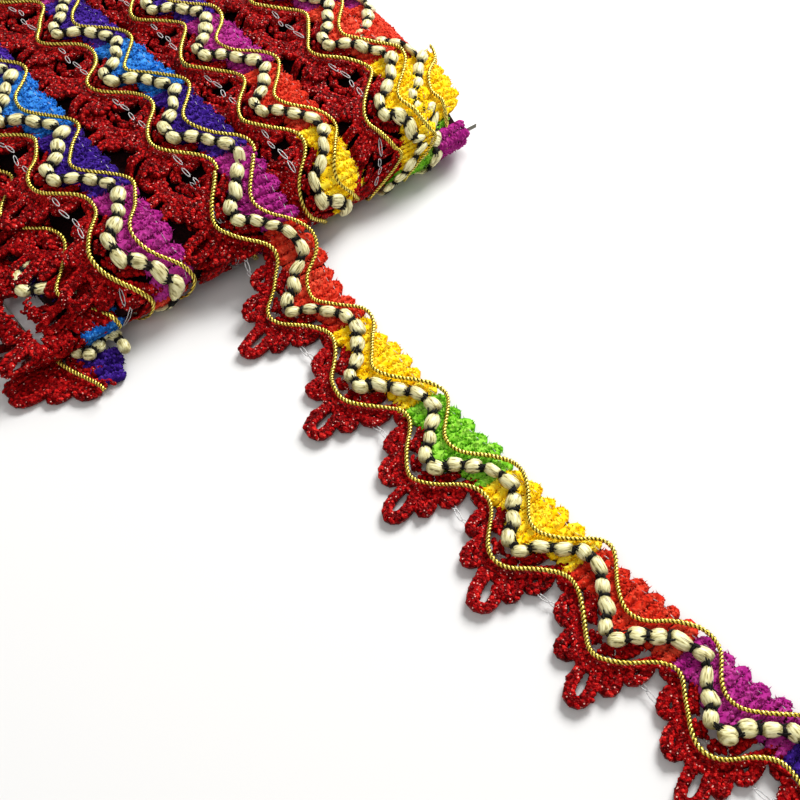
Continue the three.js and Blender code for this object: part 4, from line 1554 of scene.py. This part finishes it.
@dataclass
class NylonChain:
    """Clear nylon: a chain of looped links over the petals and a row of short dashes over the chenille."""

    scatter: ScatterTree
    across: float = -6.4
    link: float = 2.5
    loop: tuple[float, float] = (1.45, 0.38)
    wire: float = 0.11
    row: float = 7.3
    dash: float = 2.35
    stitch: tuple[float, float, float] = (0.72, 0.09, 0.09)

    def build(self, start: float, end: float, seed: int, height: float = 2.2) -> Flat:
        """The chain over the petals.

        Args:
            start: Place along the ribbon where it starts.
            end: Place where it ends.
            seed: Seed of its small differences.
            height: Height that it lies at.

        Returns:
            The chain's mesh.
        """
        turn = TAU * np.arange(8) / 8
        ring = np.column_stack([self.loop[0] * np.cos(turn), self.loop[1] * np.sin(turn), np.zeros(8)])
        shape = tube(np.vstack([ring, ring[:1]]), self.wire, self.wire, 4)
        count = max(2, round((end - start) / self.link))
        s = np.linspace(start, end, count)
        draw = np.random.default_rng(seed)
        lift = height + 0.25 * np.sin(s * 0.6 + seed)
        centres = np.column_stack([s, self.across + 0.25 * np.sin(s * 0.9 + seed), lift])
        heading = np.column_stack([np.ones(count), draw.normal(0, 0.1, count), np.zeros(count)])
        return self.scatter.scatter(shape, centres, heading, UP, np.ones((count, 3)), seed)

    def stitches(self, start: float, end: float, seed: int) -> Flat:
        """The short stitches over the chenille.

        Args:
            start: Place along the ribbon where they start.
            end: Place where they end.
            seed: Seed of their small differences.

        Returns:
            The stitches as one mesh.
        """
        s = np.arange(start, end, self.dash)
        draw = np.random.default_rng(seed)
        centres = np.column_stack([s, self.row + 0.2 * np.sin(s), 2.2 + draw.normal(0, 0.08, len(s))])
        heading = np.column_stack([np.ones(len(s)), draw.normal(0, 0.15, len(s)), np.zeros(len(s))])
        size = draw.uniform(0.7, 1.2, (len(s), 3))
        return self.scatter.scatter(ellipsoid(self.stitch, 4, 2), centres, heading, UP, size, seed)


@dataclass
class Bench:
    """Makes pieces of the object: it moves millimetres of the card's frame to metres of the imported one."""

    shift: np.ndarray
    made: list[str] = field(default_factory=list)

    def piece(self, name: str, parts: Sequence[Flat], finish: Finish, node: str,
              slot: str) -> bpy.types.Object:
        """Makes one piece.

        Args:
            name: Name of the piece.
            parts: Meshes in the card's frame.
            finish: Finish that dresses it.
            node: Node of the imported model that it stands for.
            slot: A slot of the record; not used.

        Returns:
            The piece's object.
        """
        whole = Flat.join(parts)
        whole.verts = whole.verts * MM + self.shift
        piece = add_object(name, mesh_from(name, whole))
        piece.data.materials.append(finish.material())
        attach(piece, "root")
        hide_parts(node)
        self.made.append(name)
        log.info("%s: %d triangles", name, len(whole.tris))
        return piece


class Stock:
    """Makers of the trim's yarns, and the whole repeats that every part of the ribbon is laid from."""

    VARIANTS = 3

    def __init__(self) -> None:
        """Builds the trees and the makers."""
        scatter = ScatterTree()
        self.cord, self.chain = TwistCord(TwistTree()), NylonChain(scatter)
        self.braid, self.gimp = BraidRepeat(scatter), GimpRepeat(scatter)
        self.pile = PileRepeat(PileTree(knobs=False), PileTree(knobs=True))
        self.shelf: dict[tuple[str, Fineness, int], Flat] = {}

    def whole(self, kind: str, fineness: Fineness, seed: int, build: Callable[[], Flat]) -> Flat:
        """A whole repeat, built only the first time that it is asked for."""
        if (kind, fineness, seed) not in self.shelf:
            self.shelf[kind, fineness, seed] = build()
        return self.shelf[kind, fineness, seed]

    def petals(self, fineness: Fineness, k: int, own: int = 0, keep: Keep | None = None) -> Flat:
        """Gimp of one repeat where it lies along the ribbon.

        Args:
            fineness: How finely it is made.
            k: Which repeat it is.
            own: Number of the turn that it is for, which changes its lots.
            keep: Tells which places along and across the ribbon are made, all when it is left out.

        Returns:
            The repeat's gimp.
        """
        seed, start = SEED + 10 * (k % self.VARIANTS), k * REPEAT
        if keep is None:
            part = self.whole("gimp", fineness, seed, lambda: self.gimp.build(fineness, seed))
        else:
            shift = np.array([start, 0.0])
            part = self.gimp.build(fineness, seed, lambda p: keep(p[:, :2] + shift))
        return part.moved(start, 0.37 * k + 0.11 * own)

    def chenille(self, fineness: Fineness, k: int, tufts: Sequence[int], keep: Keep | None = None) -> Flat:
        """Chenille of one repeat where it lies along the ribbon.

        Args:
            fineness: How finely it is made.
            k: Which repeat it is.
            tufts: Which of its tufts are made.
            keep: Tells which places of the repeat are made, all when it is left out.

        Returns:
            The repeat's chenille.
        """
        seed = SEED + 10 * (k % self.VARIANTS) + 1
        if keep is None and len(tufts) == TRIM.tufts:
            part = self.whole("pile", fineness, seed, lambda: self.pile.build(fineness, seed, tufts))
        else:
            part = self.pile.build(fineness, seed, tufts, keep)
        return part.moved(k * REPEAT, 0.29 * k)

    @staticmethod
    def tufts_where(k: int, wanted: Keep) -> list[int]:
        """Tufts of repeat k whose place along the ribbon is wanted."""
        w = k * REPEAT + TRIM.first_tuft + REPEAT / TRIM.tufts * np.arange(TRIM.tufts)
        return [int(t) for t in np.flatnonzero(wanted(w))]

    @staticmethod
    def line(cord: CordLine, start: float, end: float) -> np.ndarray:
        """Path of a gold cord between two places along the ribbon."""
        s = np.arange(start, end, 0.4)
        return np.column_stack([s, cord.at(s), np.full(len(s), TRIM.cord_height)])

    @staticmethod
    def bead_centres(start: float, end: float) -> np.ndarray:
        """Centres of the braid's beads between two places along the ribbon."""
        first, last = math.floor(start / REPEAT), math.ceil(end / REPEAT)
        rows = [(w + REPEAT * k, t, TRIM.braid_height) for k in range(first, last) for w, t in BEADS]
        return np.array([row for row in rows if start <= row[0] <= end]).reshape(-1, 3)


@dataclass
class Card:
    """The white card that the ribbon is wound on. Its solid keeps its shape and gets its finish."""

    node: bpy.types.Object

    def dress(self) -> None:
        """Gives the card its finish."""
        self.node.data.materials.clear()
        self.node.data.materials.append(CardFinish().material())
        log.info("card dressed")


@dataclass
class LooseEnd:
    """The long loose end of the ribbon.

    Its chenille has the colours of zones, from the fold to the cut end, and the first one ends at
    first_change. The petals stop a little inside its two ends.
    """

    bench: Bench
    stock: Stock
    lay: LooseLay = LOOSE
    zones: tuple[str, ...] = ("magenta", "red", "yellow", "green", "yellow", "red", "magenta", "purple")
    first_change: float = -4.0
    cut_back: float = 0.8

    def piece(self, name: str, parts: Sequence[Flat], finish: Finish, node: str,
              slot: str) -> bpy.types.Object:
        """Makes one piece of the loose end from flat meshes, as Bench.piece does."""
        laid = [part.laid(self.lay) for part in parts]
        return self.bench.piece(f"loose_{name}", laid, finish, f"loose_{node}", slot)

    def build(self) -> None:
        """Builds and dresses every piece of the loose end."""
        start, end = self.lay.start - self.lay.first_crest, self.lay.end - self.lay.first_crest
        stock, fine, last = self.stock, Fineness.FINE, math.floor(end / REPEAT)

        def inside(p: np.ndarray) -> np.ndarray:
            """Whether places are far enough inside the two ends for petals."""
            return (p[:, 0] > start + self.cut_back) & (p[:, 0] < end - self.cut_back)

        gimp = []
        for k in range(math.floor(start / REPEAT), last + 1):
            cut = k * REPEAT < start or (k + 1) * REPEAT > end
            gimp.append(stock.petals(fine, k, keep=inside if cut else None))
        pieces = [self.piece("petals", gimp, RubyTinselYarn(), "petal_gimp", "crimson_gimp")]
        edges = [start, self.first_change, *(REPEAT * k for k in range(1, last + 1)), end]
        for i, (colour, low, high) in enumerate(zip(self.zones, edges, edges[1:]), 1):
            parts = []
            for k in range(math.floor(low / REPEAT), math.floor(high / REPEAT) + 1):
                tufts = stock.tufts_where(k, lambda w: (w > low + 0.5) & (w <= high + 0.5) & (w < end - 1))
                if tufts:
                    parts.append(stock.chenille(fine, k, tufts))
            finish = PileColour[colour.upper()].finish()
            pieces.append(self.piece(f"pile_{i}_{colour}", parts, finish, f"chenille_{i}_{colour}",
                                     f"chenille_{colour}"))
        for name, cord in (("upper", TRIM.upper), ("lower", TRIM.lower)):
            twist = stock.cord.build(stock.line(cord, start, end), fine)
            pieces.append(self.piece(f"{name}_twist", [twist], GoldCordFinish(), f"{name}_gold_cord",
                                     "gold_cord"))
        centres = stock.bead_centres(start, end)
        beads = stock.braid.beads(centres, fine, SEED + 41)
        ties = stock.braid.ties(centres, fine, SEED + 42)
        nylon = [stock.chain.build(start, end, 3, 1.2), stock.chain.stitches(start, end, 4)]
        pieces += [self.piece("beads", [beads], SatinFinish(), "bead_braid", "cream_braid"),
                   self.piece("ties", [ties], TIE_FINISH, "bead_braid", "cream_braid"),
                   self.piece("nylon_chain", nylon, NylonFinish(), "petal_gimp", "cream_braid")]
        ground = Ground(start, end)
        sheet = self.piece("ground", [ground.build()], GROUND_FINISH, "petal_gimp", "crimson_gimp")
        ground.length * MM
        ground.area * MM * MM


@dataclass
class Ground:
    """Thin crocheted ground that the trim's yarns are stitched to, from the lower cord to the tufts; its
    dark tone is painted shade.

    Its width is the whole trim's, petals and tufts included. Its area is added up from narrow strips.
    """

    start: float
    end: float
    width: float = 28.3
    low: float = 0.15
    thick: float = 0.3
    step: float = 1.0
    columns: int = 5
    strip: float = 0.25

    @property
    def length(self) -> float:
        """Length of the ground along the ribbon."""
        return self.end - self.start

    def edges(self, s: np.ndarray) -> tuple[np.ndarray, np.ndarray]:
        """Lower and upper edge at places along the ribbon."""
        return TRIM.web_top(s) + 0.3, np.full(len(s), TRIM.pile_edge - 1.3)

    @property
    def area(self) -> float:
        """Flat area in square millimetres."""
        low, high = self.edges(np.arange(self.start, self.end, self.strip))
        return float(((high - low) * self.strip).sum())

    def build(self) -> Flat:
        """The ground as a thin closed sheet."""
        s = np.arange(self.start, self.end + self.step / 2, self.step)
        low, high = self.edges(s)
        across = low[:, None] + (high - low)[:, None] * np.linspace(0, 1, self.columns)
        along = np.repeat(s, self.columns)
        under = np.column_stack([along, across.ravel(), np.full(len(along), self.low)])
        grid, shift = np.arange(len(under)).reshape(-1, self.columns), len(under)
        a = grid[:-1, :-1].ravel()
        face = np.stack([a, a + self.columns, a + self.columns + 1, a + 1], 1)
        rim = np.r_[grid[:-1, 0], grid[-1, :-1], grid[:0:-1, -1], grid[0, :0:-1]]
        ahead = np.roll(rim, -1)
        walls = np.stack([rim, ahead, ahead + shift, rim + shift], 1)
        quads = np.vstack([face + shift, face[:, ::-1], walls])
        tris = np.vstack([quads[:, [0, 1, 2]], quads[:, [0, 2, 3]]])
        return Flat.shaded(np.vstack([under, under + np.array([0, 0, self.thick])]), tris, 0.5)


TIE_FINISH = ThreadFinish("black_tie_thread", "#070605", "#1C1814", 0.6)
# The ground net is dark as painted shade in the gaps between the tufts.
GROUND_FINISH = ThreadFinish("dark_ground_net", "#2A0508", "#4C0A10", 0.9)
# The inner turns' near-black colour is painted shade, the deep shade between the wound layers.
CORE_FINISH = ThreadFinish("shaded_inner_turns", "#0E0203", "#24070A", 1.0)


class Part(Flag):
    """What is made of a wound turn."""

    PETALS = auto()
    LOWER_CORD = auto()
    UPPER_CORD = auto()
    BRAID = auto()
    NYLON = auto()
    CHENILLE = auto()
    BORDER = UPPER_CORD | BRAID | CHENILLE
    ALL = PETALS | LOWER_CORD | UPPER_CORD | BRAID | NYLON | CHENILLE


@dataclass(frozen=True)
class Turn:
    """One wound turn.

    Attributes:
        lay: Where it lies.
        zone: Place in the colour cycle of its first crest.
        first: First repeat that is made.
        last: Last repeat that is made.
        parts: What is made of it.
        lead: How far before the end of a repeat its colour changes, or after it where it is negative.
        tufts: Tufts of each repeat that may be made.
        below: Place across it below which its petals are made.
        above: Place across it above which its chenille is left out.
        bare: Nearest and furthest x and y of a place where nothing is made, so that the card shows.
        fine_from: First repeat that is made finely.
    """

    lay: WoundLay
    zone: int
    first: int
    last: int
    parts: Part = Part.ALL
    lead: float = 0.0
    tufts: tuple[int, ...] = (0, 1, 2, 3, 4, 5)
    below: float = BEYOND
    above: float = BEYOND
    bare: tuple[float, float, float, float] | None = None
    fine_from: int = -9

    def kept(self, q: np.ndarray) -> np.ndarray:
        """Tells which places of the turn are made.

        Args:
            q: Places along and across the turn.

        Returns:
            True for each place that is made.
        """
        made = q[:, 1] < self.below
        if self.bare is None:
            return made
        along = self.lay.along(q[:, 0])
        x, _, _, _ = SECTION.at(along)
        y = self.lay.middle(along) + q[:, 1]
        low_x, high_x, low_y, high_y = self.bare
        return made & ~((x > low_x) & (x < high_x) & (y > low_y) & (y < high_y))


# Nearest and furthest x and y of the card's corner that shows at the front left.
FREE_CORNER = (49.0, 59.8, -57.6, -54.4)


@dataclass
class WoundRibbon:
    """The ribbon's turns round the card.

    The inner turns, its core, have a ring of points at each y, so far below the outer turns, and a gap to
    the card. The first few of its turns give their petals to the left piece.
    """

    bench: Bench
    stock: Stock
    node: str = "wound_ribbon"
    slot: str = "wound_lace"
    left_turns: int = 3
    core_rings: tuple[tuple[float, float], ...] = (
        (-50.0, 4.6), (-38.0, 3.9), (-27.0, 1.8), (12.0, 1.6), (50.0, 1.6))
    core_gap: float = 0.35
    core_sides: int = 120

    def turns(self) -> list[Turn]:
        """The outer turns, left to right, and the lower ones that show past or between them."""
        a = WoundLay((-30.43, -30.43, -31.47, -31.17, -30.89, -31.2, -38.0),
                     (-9.23, -9.07, -8.73, -7.8, -5.6, -5.51, -5.48, -3.0), SEED + 21, slope=0.15)
        b = WoundLay((-5.88, -5.94, -4.72, -4.75, -4.83, -5.0, -6.0),
                     (-4.13, -4.04, -3.86, -3.66, -2.92, -1.2, -0.6, -0.6), SEED + 22, tuck=-15.0,
                     outer_end=True)
        c = WoundLay((16.31, 16.31, 15.73, 14.9, 14.59, 14.43, 12.9),
                     (3.48, 3.31, 2.87, 1.45, 3.07, 2.48, 2.02, -0.07), SEED + 23, tuck=-9.6, lean=0.4)
        d = WoundLay((41.11, 41.11, 40.71, 39.98, 37.22, 31.4, 32.79),
                     (14.84, 14.95, 15.22, 16.09, 17.5, 16.94, 8.56, 5.64), SEED + 24, tuck=-13.4)
        e = WoundLay((50.9, 50.9, 50.9, 47.73, 46.06, 36.8, 35.15),
                     (20.34, 20.17, 19.89, 19.52, 19.0, 18.0, 17.51, 17.77), SEED + 25, sink=2.0, lean=0.3)
        f = WoundLay((-51.5, -51.5, -51.5, -50.5, -49.0, -48.0, -48.0), (14.9,) * 8, SEED + 26, sink=6.6,
                     slope=0.15)
        f_beads = WoundLay((-48.8,) * 7, (11.6,) * 8, SEED + 26, sink=6.7)
        f_half = replace(f, phase=(26.9,) * 8, seed=SEED + 30, sink=5.3)
        f_cord = WoundLay((-49.3,) * 7, (20.2,) * 8, SEED + 28, sink=3.9)
        g_cord = WoundLay((-51.0,) * 7, (7.2,) * 8, SEED + 29, sink=4.4)
        nose = WoundLay((45.0,) * 7, (8.0,) * 8, SEED + 27, sink=1.8)
        deep = WoundLay((-37.0,) * 7, (21.2,) * 8, SEED + 36, sink=3.4, slope=0.1)
        turns = [Turn(a, 5, -5, 5), Turn(b, 5, -5, 5), Turn(c, 7, -5, 5), Turn(d, 8, -5, 1),
                 Turn(d, 8, 2, 5, lead=-8.0),
                 Turn(replace(e, drape=0.9), 8, -3, 0, Part.BRAID | Part.CHENILLE, fine_from=-1),
                 Turn(e, 8, 1, 2, Part.BORDER, lead=4.5),
                 Turn(f, 3, -3, 0, Part.PETALS), Turn(f, 3, 1, 2, Part.PETALS, bare=FREE_CORNER),
                 Turn(f_half, 3, 0, 1, Part.PETALS, below=-3.5, bare=FREE_CORNER),
                 Turn(f_beads, 3, 1, 1, Part.BRAID | Part.CHENILLE, bare=FREE_CORNER),
                 Turn(f, 3, 2, 2, Part.CHENILLE, bare=FREE_CORNER),
                 Turn(f_cord, 0, -3, 1, Part.UPPER_CORD),
                 Turn(g_cord, 0, 1, 1, Part.LOWER_CORD, bare=(48.0, 80.0, -60.0, -30.0)),
                 Turn(nose, 1, 2, 2, Part.CHENILLE, tufts=(2, 3, 4), above=6.4),
                 Turn(deep, 0, -3, 1, Part.PETALS, below=-3.5, bare=FREE_CORNER, fine_from=-1)]
        lowered = ((a, -6.0, 2.9, -1), (b, -3.0, 1.1, -2), (c, -3.0, 1.1, -2), (d, -3.0, 1.1, -2))
        for n, (lay, side, sink, fine_from) in enumerate(lowered):
            lower = WoundLay(tuple(v + side for v in lay.drift), tuple(v + 12.0 for v in lay.phase),
                             SEED + 31 + n, sink=sink, slope=lay.slope, tuck=lay.tuck)
            turns.append(Turn(lower, 0, -3, 2, Part.PETALS, below=-3.5, bare=FREE_CORNER,
                              fine_from=fine_from))
        return turns

    def fineness(self, turn: Turn, k: int) -> Fineness:
        """Plain on the underside and deep under the outer turns, and fine elsewhere."""
        x, z, _, _ = SECTION.at(turn.lay.along((k + 0.5) * REPEAT))
        under = z < 3 and abs(x) < 44
        return Fineness.PLAIN if under or k < turn.fine_from else Fineness.FINE

    def build(self) -> None:
        """Builds and dresses every piece of the wound part."""
        finishes = {**dict.fromkeys(("petals_left", "petals_right", "petals_lower"), RubyTinselYarn()),
                    "twists": GoldCordFinish(), "beads": SatinFinish(), "ties": TIE_FINISH,
                    "nylon_chain": NylonFinish(), **{colour.piece: colour.finish() for colour in PileColour}}
        parts: dict[str, list[Flat]] = {name: [] for name in finishes}
        for i, turn in enumerate(self.turns()):
            for k in range(turn.first, turn.last + 1):
                self.repeat(turn, i, k, parts)
        parts["core"], finishes["core"] = [self.core()], CORE_FINISH
        for name, finish in finishes.items():
            if parts[name]:
                self.bench.piece(f"wound_{name}", parts[name], finish, self.node, self.slot)

    def repeat(self, turn: Turn, i: int, k: int, parts: dict[str, list[Flat]]) -> None:
        """Adds the parts of one repeat of a turn.

        Args:
            turn: The turn.
            i: Its number, for its lots and seeds.
            k: Which repeat of it.
            parts: Meshes of the wound part's pieces, by name.
        """
        stock, lay, made, fineness = self.stock, turn.lay, turn.parts, self.fineness(turn, k)
        start, end = k * REPEAT, (k + 1) * REPEAT
        if Part.PETALS in made:
            lower = turn.below < BEYOND
            side = "left" if i < self.left_turns else "lower" if lower else "right"
            keep = turn.kept if lower or turn.bare is not None else None
            parts[f"petals_{side}"].append(stock.petals(fineness, k, i, keep).laid(lay))
        if Part.CHENILLE in made:
            inner = (lambda p: p[:, 1] < turn.above) if turn.above < BEYOND else None
            for zone in (k - 1, k, k + 1):
                wanted = stock.tufts_where(
                    k, lambda w: (np.floor((w + turn.lead) / REPEAT) == zone) & ~lay.covered(w))
                tufts = [t for t in wanted if t in turn.tufts]
                if tufts:
                    colour = CYCLE[(turn.zone + zone) % len(CYCLE)]
                    parts[colour.piece].append(stock.chenille(fineness, k, tufts, inner).laid(lay))
        for cord, part in ((TRIM.upper, Part.UPPER_CORD), (TRIM.lower, Part.LOWER_CORD)):
            if part in made:
                line = stock.line(cord, start, end + 0.3)
                for (path,) in runs(line, lambda p: ~lay.covered(p[:, 0]) & turn.kept(p)):
                    parts["twists"].append(stock.cord.build(path, fineness).laid(lay))
        centres = stock.bead_centres(start, end + 2.5)
        centres = centres[~lay.covered(centres[:, 0]) & turn.kept(centres)]
        if Part.BRAID in made and len(centres) > 2:
            seed = SEED + 50 + 20 * i + k
            own = centres[:-1] if centres[-1, 0] > end else centres
            parts["beads"].append(stock.braid.beads(own, fineness, seed).laid(lay))
            parts["ties"].append(stock.braid.ties(centres, fineness, seed + 1).laid(lay))
        if Part.NYLON in made and not lay.covered(np.array([start, end])).any():
            parts["nylon_chain"].append(stock.chain.build(start - 4, start + 6, 5 + k).laid(lay))
            if fineness is Fineness.FINE:
                parts["nylon_chain"].append(stock.chain.stitches(start, end, 6 + k).laid(lay))

    def core(self) -> Flat:
        """Inner turns in near-black painted shade: a closed belt round the card, below the outer turns'
        yarns.
        """
        count = self.core_sides
        x, z, out_x, out_z = SECTION.at(np.linspace(0, SECTION.length, count, endpoint=False))
        low = np.clip((z - 8.2) / 2.5, 0.25, 1)
        half_x, half_z = SECTION.CARD_HALF_X + self.core_gap, SECTION.CARD_HALF_Z + self.core_gap
        inner_x = np.clip(x, -half_x, half_x)
        inner_z = SECTION.CARD_Z + np.clip((z - SECTION.CARD_Z) * 3, -half_z, half_z)
        rings = []
        for y, drop in self.core_rings:
            depth = np.where(z > 6.5, low * drop, 0.4)
            height = np.maximum(z - out_z * depth, 1.0)
            rings.append(np.stack([x - out_x * depth, np.full(count, y), height], 1))
        for y, _ in (self.core_rings[-1], self.core_rings[0]):
            rings.append(np.stack([inner_x, np.full(count, y), inner_z], 1))
        a = np.arange(len(rings) * count).reshape(-1, count)
        ahead, above = np.roll(a, -1, axis=1), np.roll(a, -1, axis=0)
        both = np.roll(ahead, -1, axis=0)
        corners = (a, ahead, above), (ahead, both, above)
        tris = np.vstack([np.stack(three, -1).reshape(-1, 3) for three in corners])
        return Flat.shaded(np.vstack(rings), tris, 0.3)


@dataclass
class CutEnd:
    """The ribbon's inner end, a short cut length flat on the table.

    The second layer of its petals is shifted and turned by fan, its tufts are shifted by tuck, under the
    wound turns, and its beads follow a route in the card's frame.
    """

    bench: Bench
    stock: Stock
    lay: TailLay = TailLay()
    fan: tuple[float, float, float] = (1.6, -0.4, 0.12)
    tuck: tuple[float, float] = (0.9, -2.3)
    route: tuple[tuple[float, float, float], ...] = (
        (60.4, -49.0, 2.6), (63.6, -50.1, 3.4), (65.6, -48.4, 3.6), (64.8, -45.9, 3.6), (62.8, -43.4, 3.5),
        (64.0, -41.8, 3.5), (67.7, -41.8, 3.3))

    def build(self) -> None:
        """Builds and dresses the inner end."""
        stock, lay, fine, piece = self.stock, self.lay, Fineness.FINE, self.bench.piece
        first = stock.gimp.build(fine, SEED + 10, lambda p: (p[:, 0] > 5.2) & (p[:, 1] < 0.7))
        second = stock.gimp.build(fine, SEED + 12, lambda p: (p[:, 0] > 2.2) & (p[:, 1] < -2.5))
        fan = replace(lay, x=lay.x + self.fan[0], y=lay.y + self.fan[1], turn=lay.turn + self.fan[2])
        piece("tail_petals", [first.laid(lay), second.laid(fan)], RubyTinselYarn(), "tail_petal_gimp",
              "crimson_gimp")
        pile = stock.pile.build(fine, SEED + 21, (3, 4), lambda p: (p[:, 0] > 11) & (p[:, 1] < 5.9))
        tucked = replace(lay, x=lay.x + self.tuck[0], y=lay.y + self.tuck[1])
        piece("tail_pile", [pile.laid(tucked)], PileColour.PURPLE.finish(), "tail_chenille_purple",
              "chenille_purple")
        cord = stock.cord.build(stock.line(TRIM.lower, 9.2, 23.9), fine)
        piece("tail_twist", [cord.laid(lay)], GoldCordFinish(), "tail_lower_gold_cord", "gold_cord")
        centres = np.array(self.route)
        beads = stock.braid.beads(centres, fine, SEED + 71)
        ties = stock.braid.ties(centres, fine, SEED + 72)
        piece("tail_beads", [beads], SatinFinish(), "tail_bead_braid", "cream_braid")
        piece("tail_ties", [ties], TIE_FINISH, "tail_bead_braid", "cream_braid")


@dataclass
class Studio:
    """Pale floor, soft light and the photograph's camera."""

    card_centre: np.ndarray
    camera_offset: tuple[float, float] = (235.75, -100.75)
    camera_height: float = 204.006
    pitch: float = math.pi / 2 - 0.912405
    heading: float = 0.91358
    lens: float = 58.21
    sensor: float = 36.0
    lights: tuple[tuple[str, tuple[float, float, float], float, float], ...] = (
        ("key_light", (-0.28, 0.71, 0.66), 16.2, 0.5), ("fill_light", (0.3, -0.6, 0.8), 2.4, 0.8))
    sky: float = 0.34
    floor_half: float = 3.0

    def camera(self) -> None:
        """The photograph's camera."""
        data = bpy.data.cameras.new("camera")
        data.lens, data.sensor_width = self.lens, self.sensor
        data.clip_start, data.clip_end = 0.01, 20.0
        eye = add_object("camera", data)
        x, y = self.card_centre[:2] + np.array(self.camera_offset) * MM
        eye.location = (x, y, self.camera_height * MM)
        eye.rotation_euler = (self.pitch, 0.0, self.heading)
        bpy.context.scene.camera = eye

    def floor(self) -> None:
        """A plain white floor."""
        half, mesh = self.floor_half, bpy.data.meshes.new("floor")
        mesh.from_pydata([(-half, -half, 0), (half, -half, 0), (half, half, 0), (-half, half, 0)], [],
                         [(0, 1, 2, 3)])
        mesh.materials.append(BackdropFinish().material())
        add_object("floor", mesh)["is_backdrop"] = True

    def light(self, name: str, place: tuple[float, float, float], power: float, size: float) -> None:
        """Adds a soft square light that faces the object.

        Args:
            name: Name of the light.
            place: Where it is, in metres.
            power: Its power in watts.
            size: Its side in metres.
        """
        data = bpy.data.lights.new(name, "AREA")
        data.energy, data.size = power, size
        lamp = add_object(name, data)
        lamp.location = place
        lamp.rotation_euler = (-Vector(place)).to_track_quat("-Z", "Y").to_euler()

    def build(self) -> None:
        """Camera, floor, lights and a white sky."""
        scene = bpy.context.scene
        self.camera()
        self.floor()
        for lamp in self.lights:
            self.light(*lamp)
        world = bpy.data.worlds.new("studio")
        world.use_nodes = True
        back = world.node_tree.nodes["Background"]
        back.inputs["Color"].default_value = (1, 1, 1, 1)
        back.inputs["Strength"].default_value = self.sky
        scene.world = world
        scene.view_settings.view_transform = "Standard"
        scene.view_settings.look = "None"
        scene.view_settings.exposure = 0.0


def main() -> None:
    """Builds the object in its frame and the studio around it."""
    logging.basicConfig(level=logging.INFO, format="%(name)s %(message)s", stream=sys.stdout)
    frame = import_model()
    low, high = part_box("card")
    centre = np.array((low + high) / 2)
    studio = Studio(centre)
    studio.build()
    bench = Bench(centre - np.array([0, 0, Section.CARD_Z * MM]))
    stock = Stock()
    Card(frame["nodes"]["card"]).dress()
    LooseEnd(bench, stock).build()
    WoundRibbon(bench, stock).build()
    CutEnd(bench, stock).build()
    low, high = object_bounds()
    log.info("%d pieces", len(bench.made))


if __name__ == "__main__":
    main()
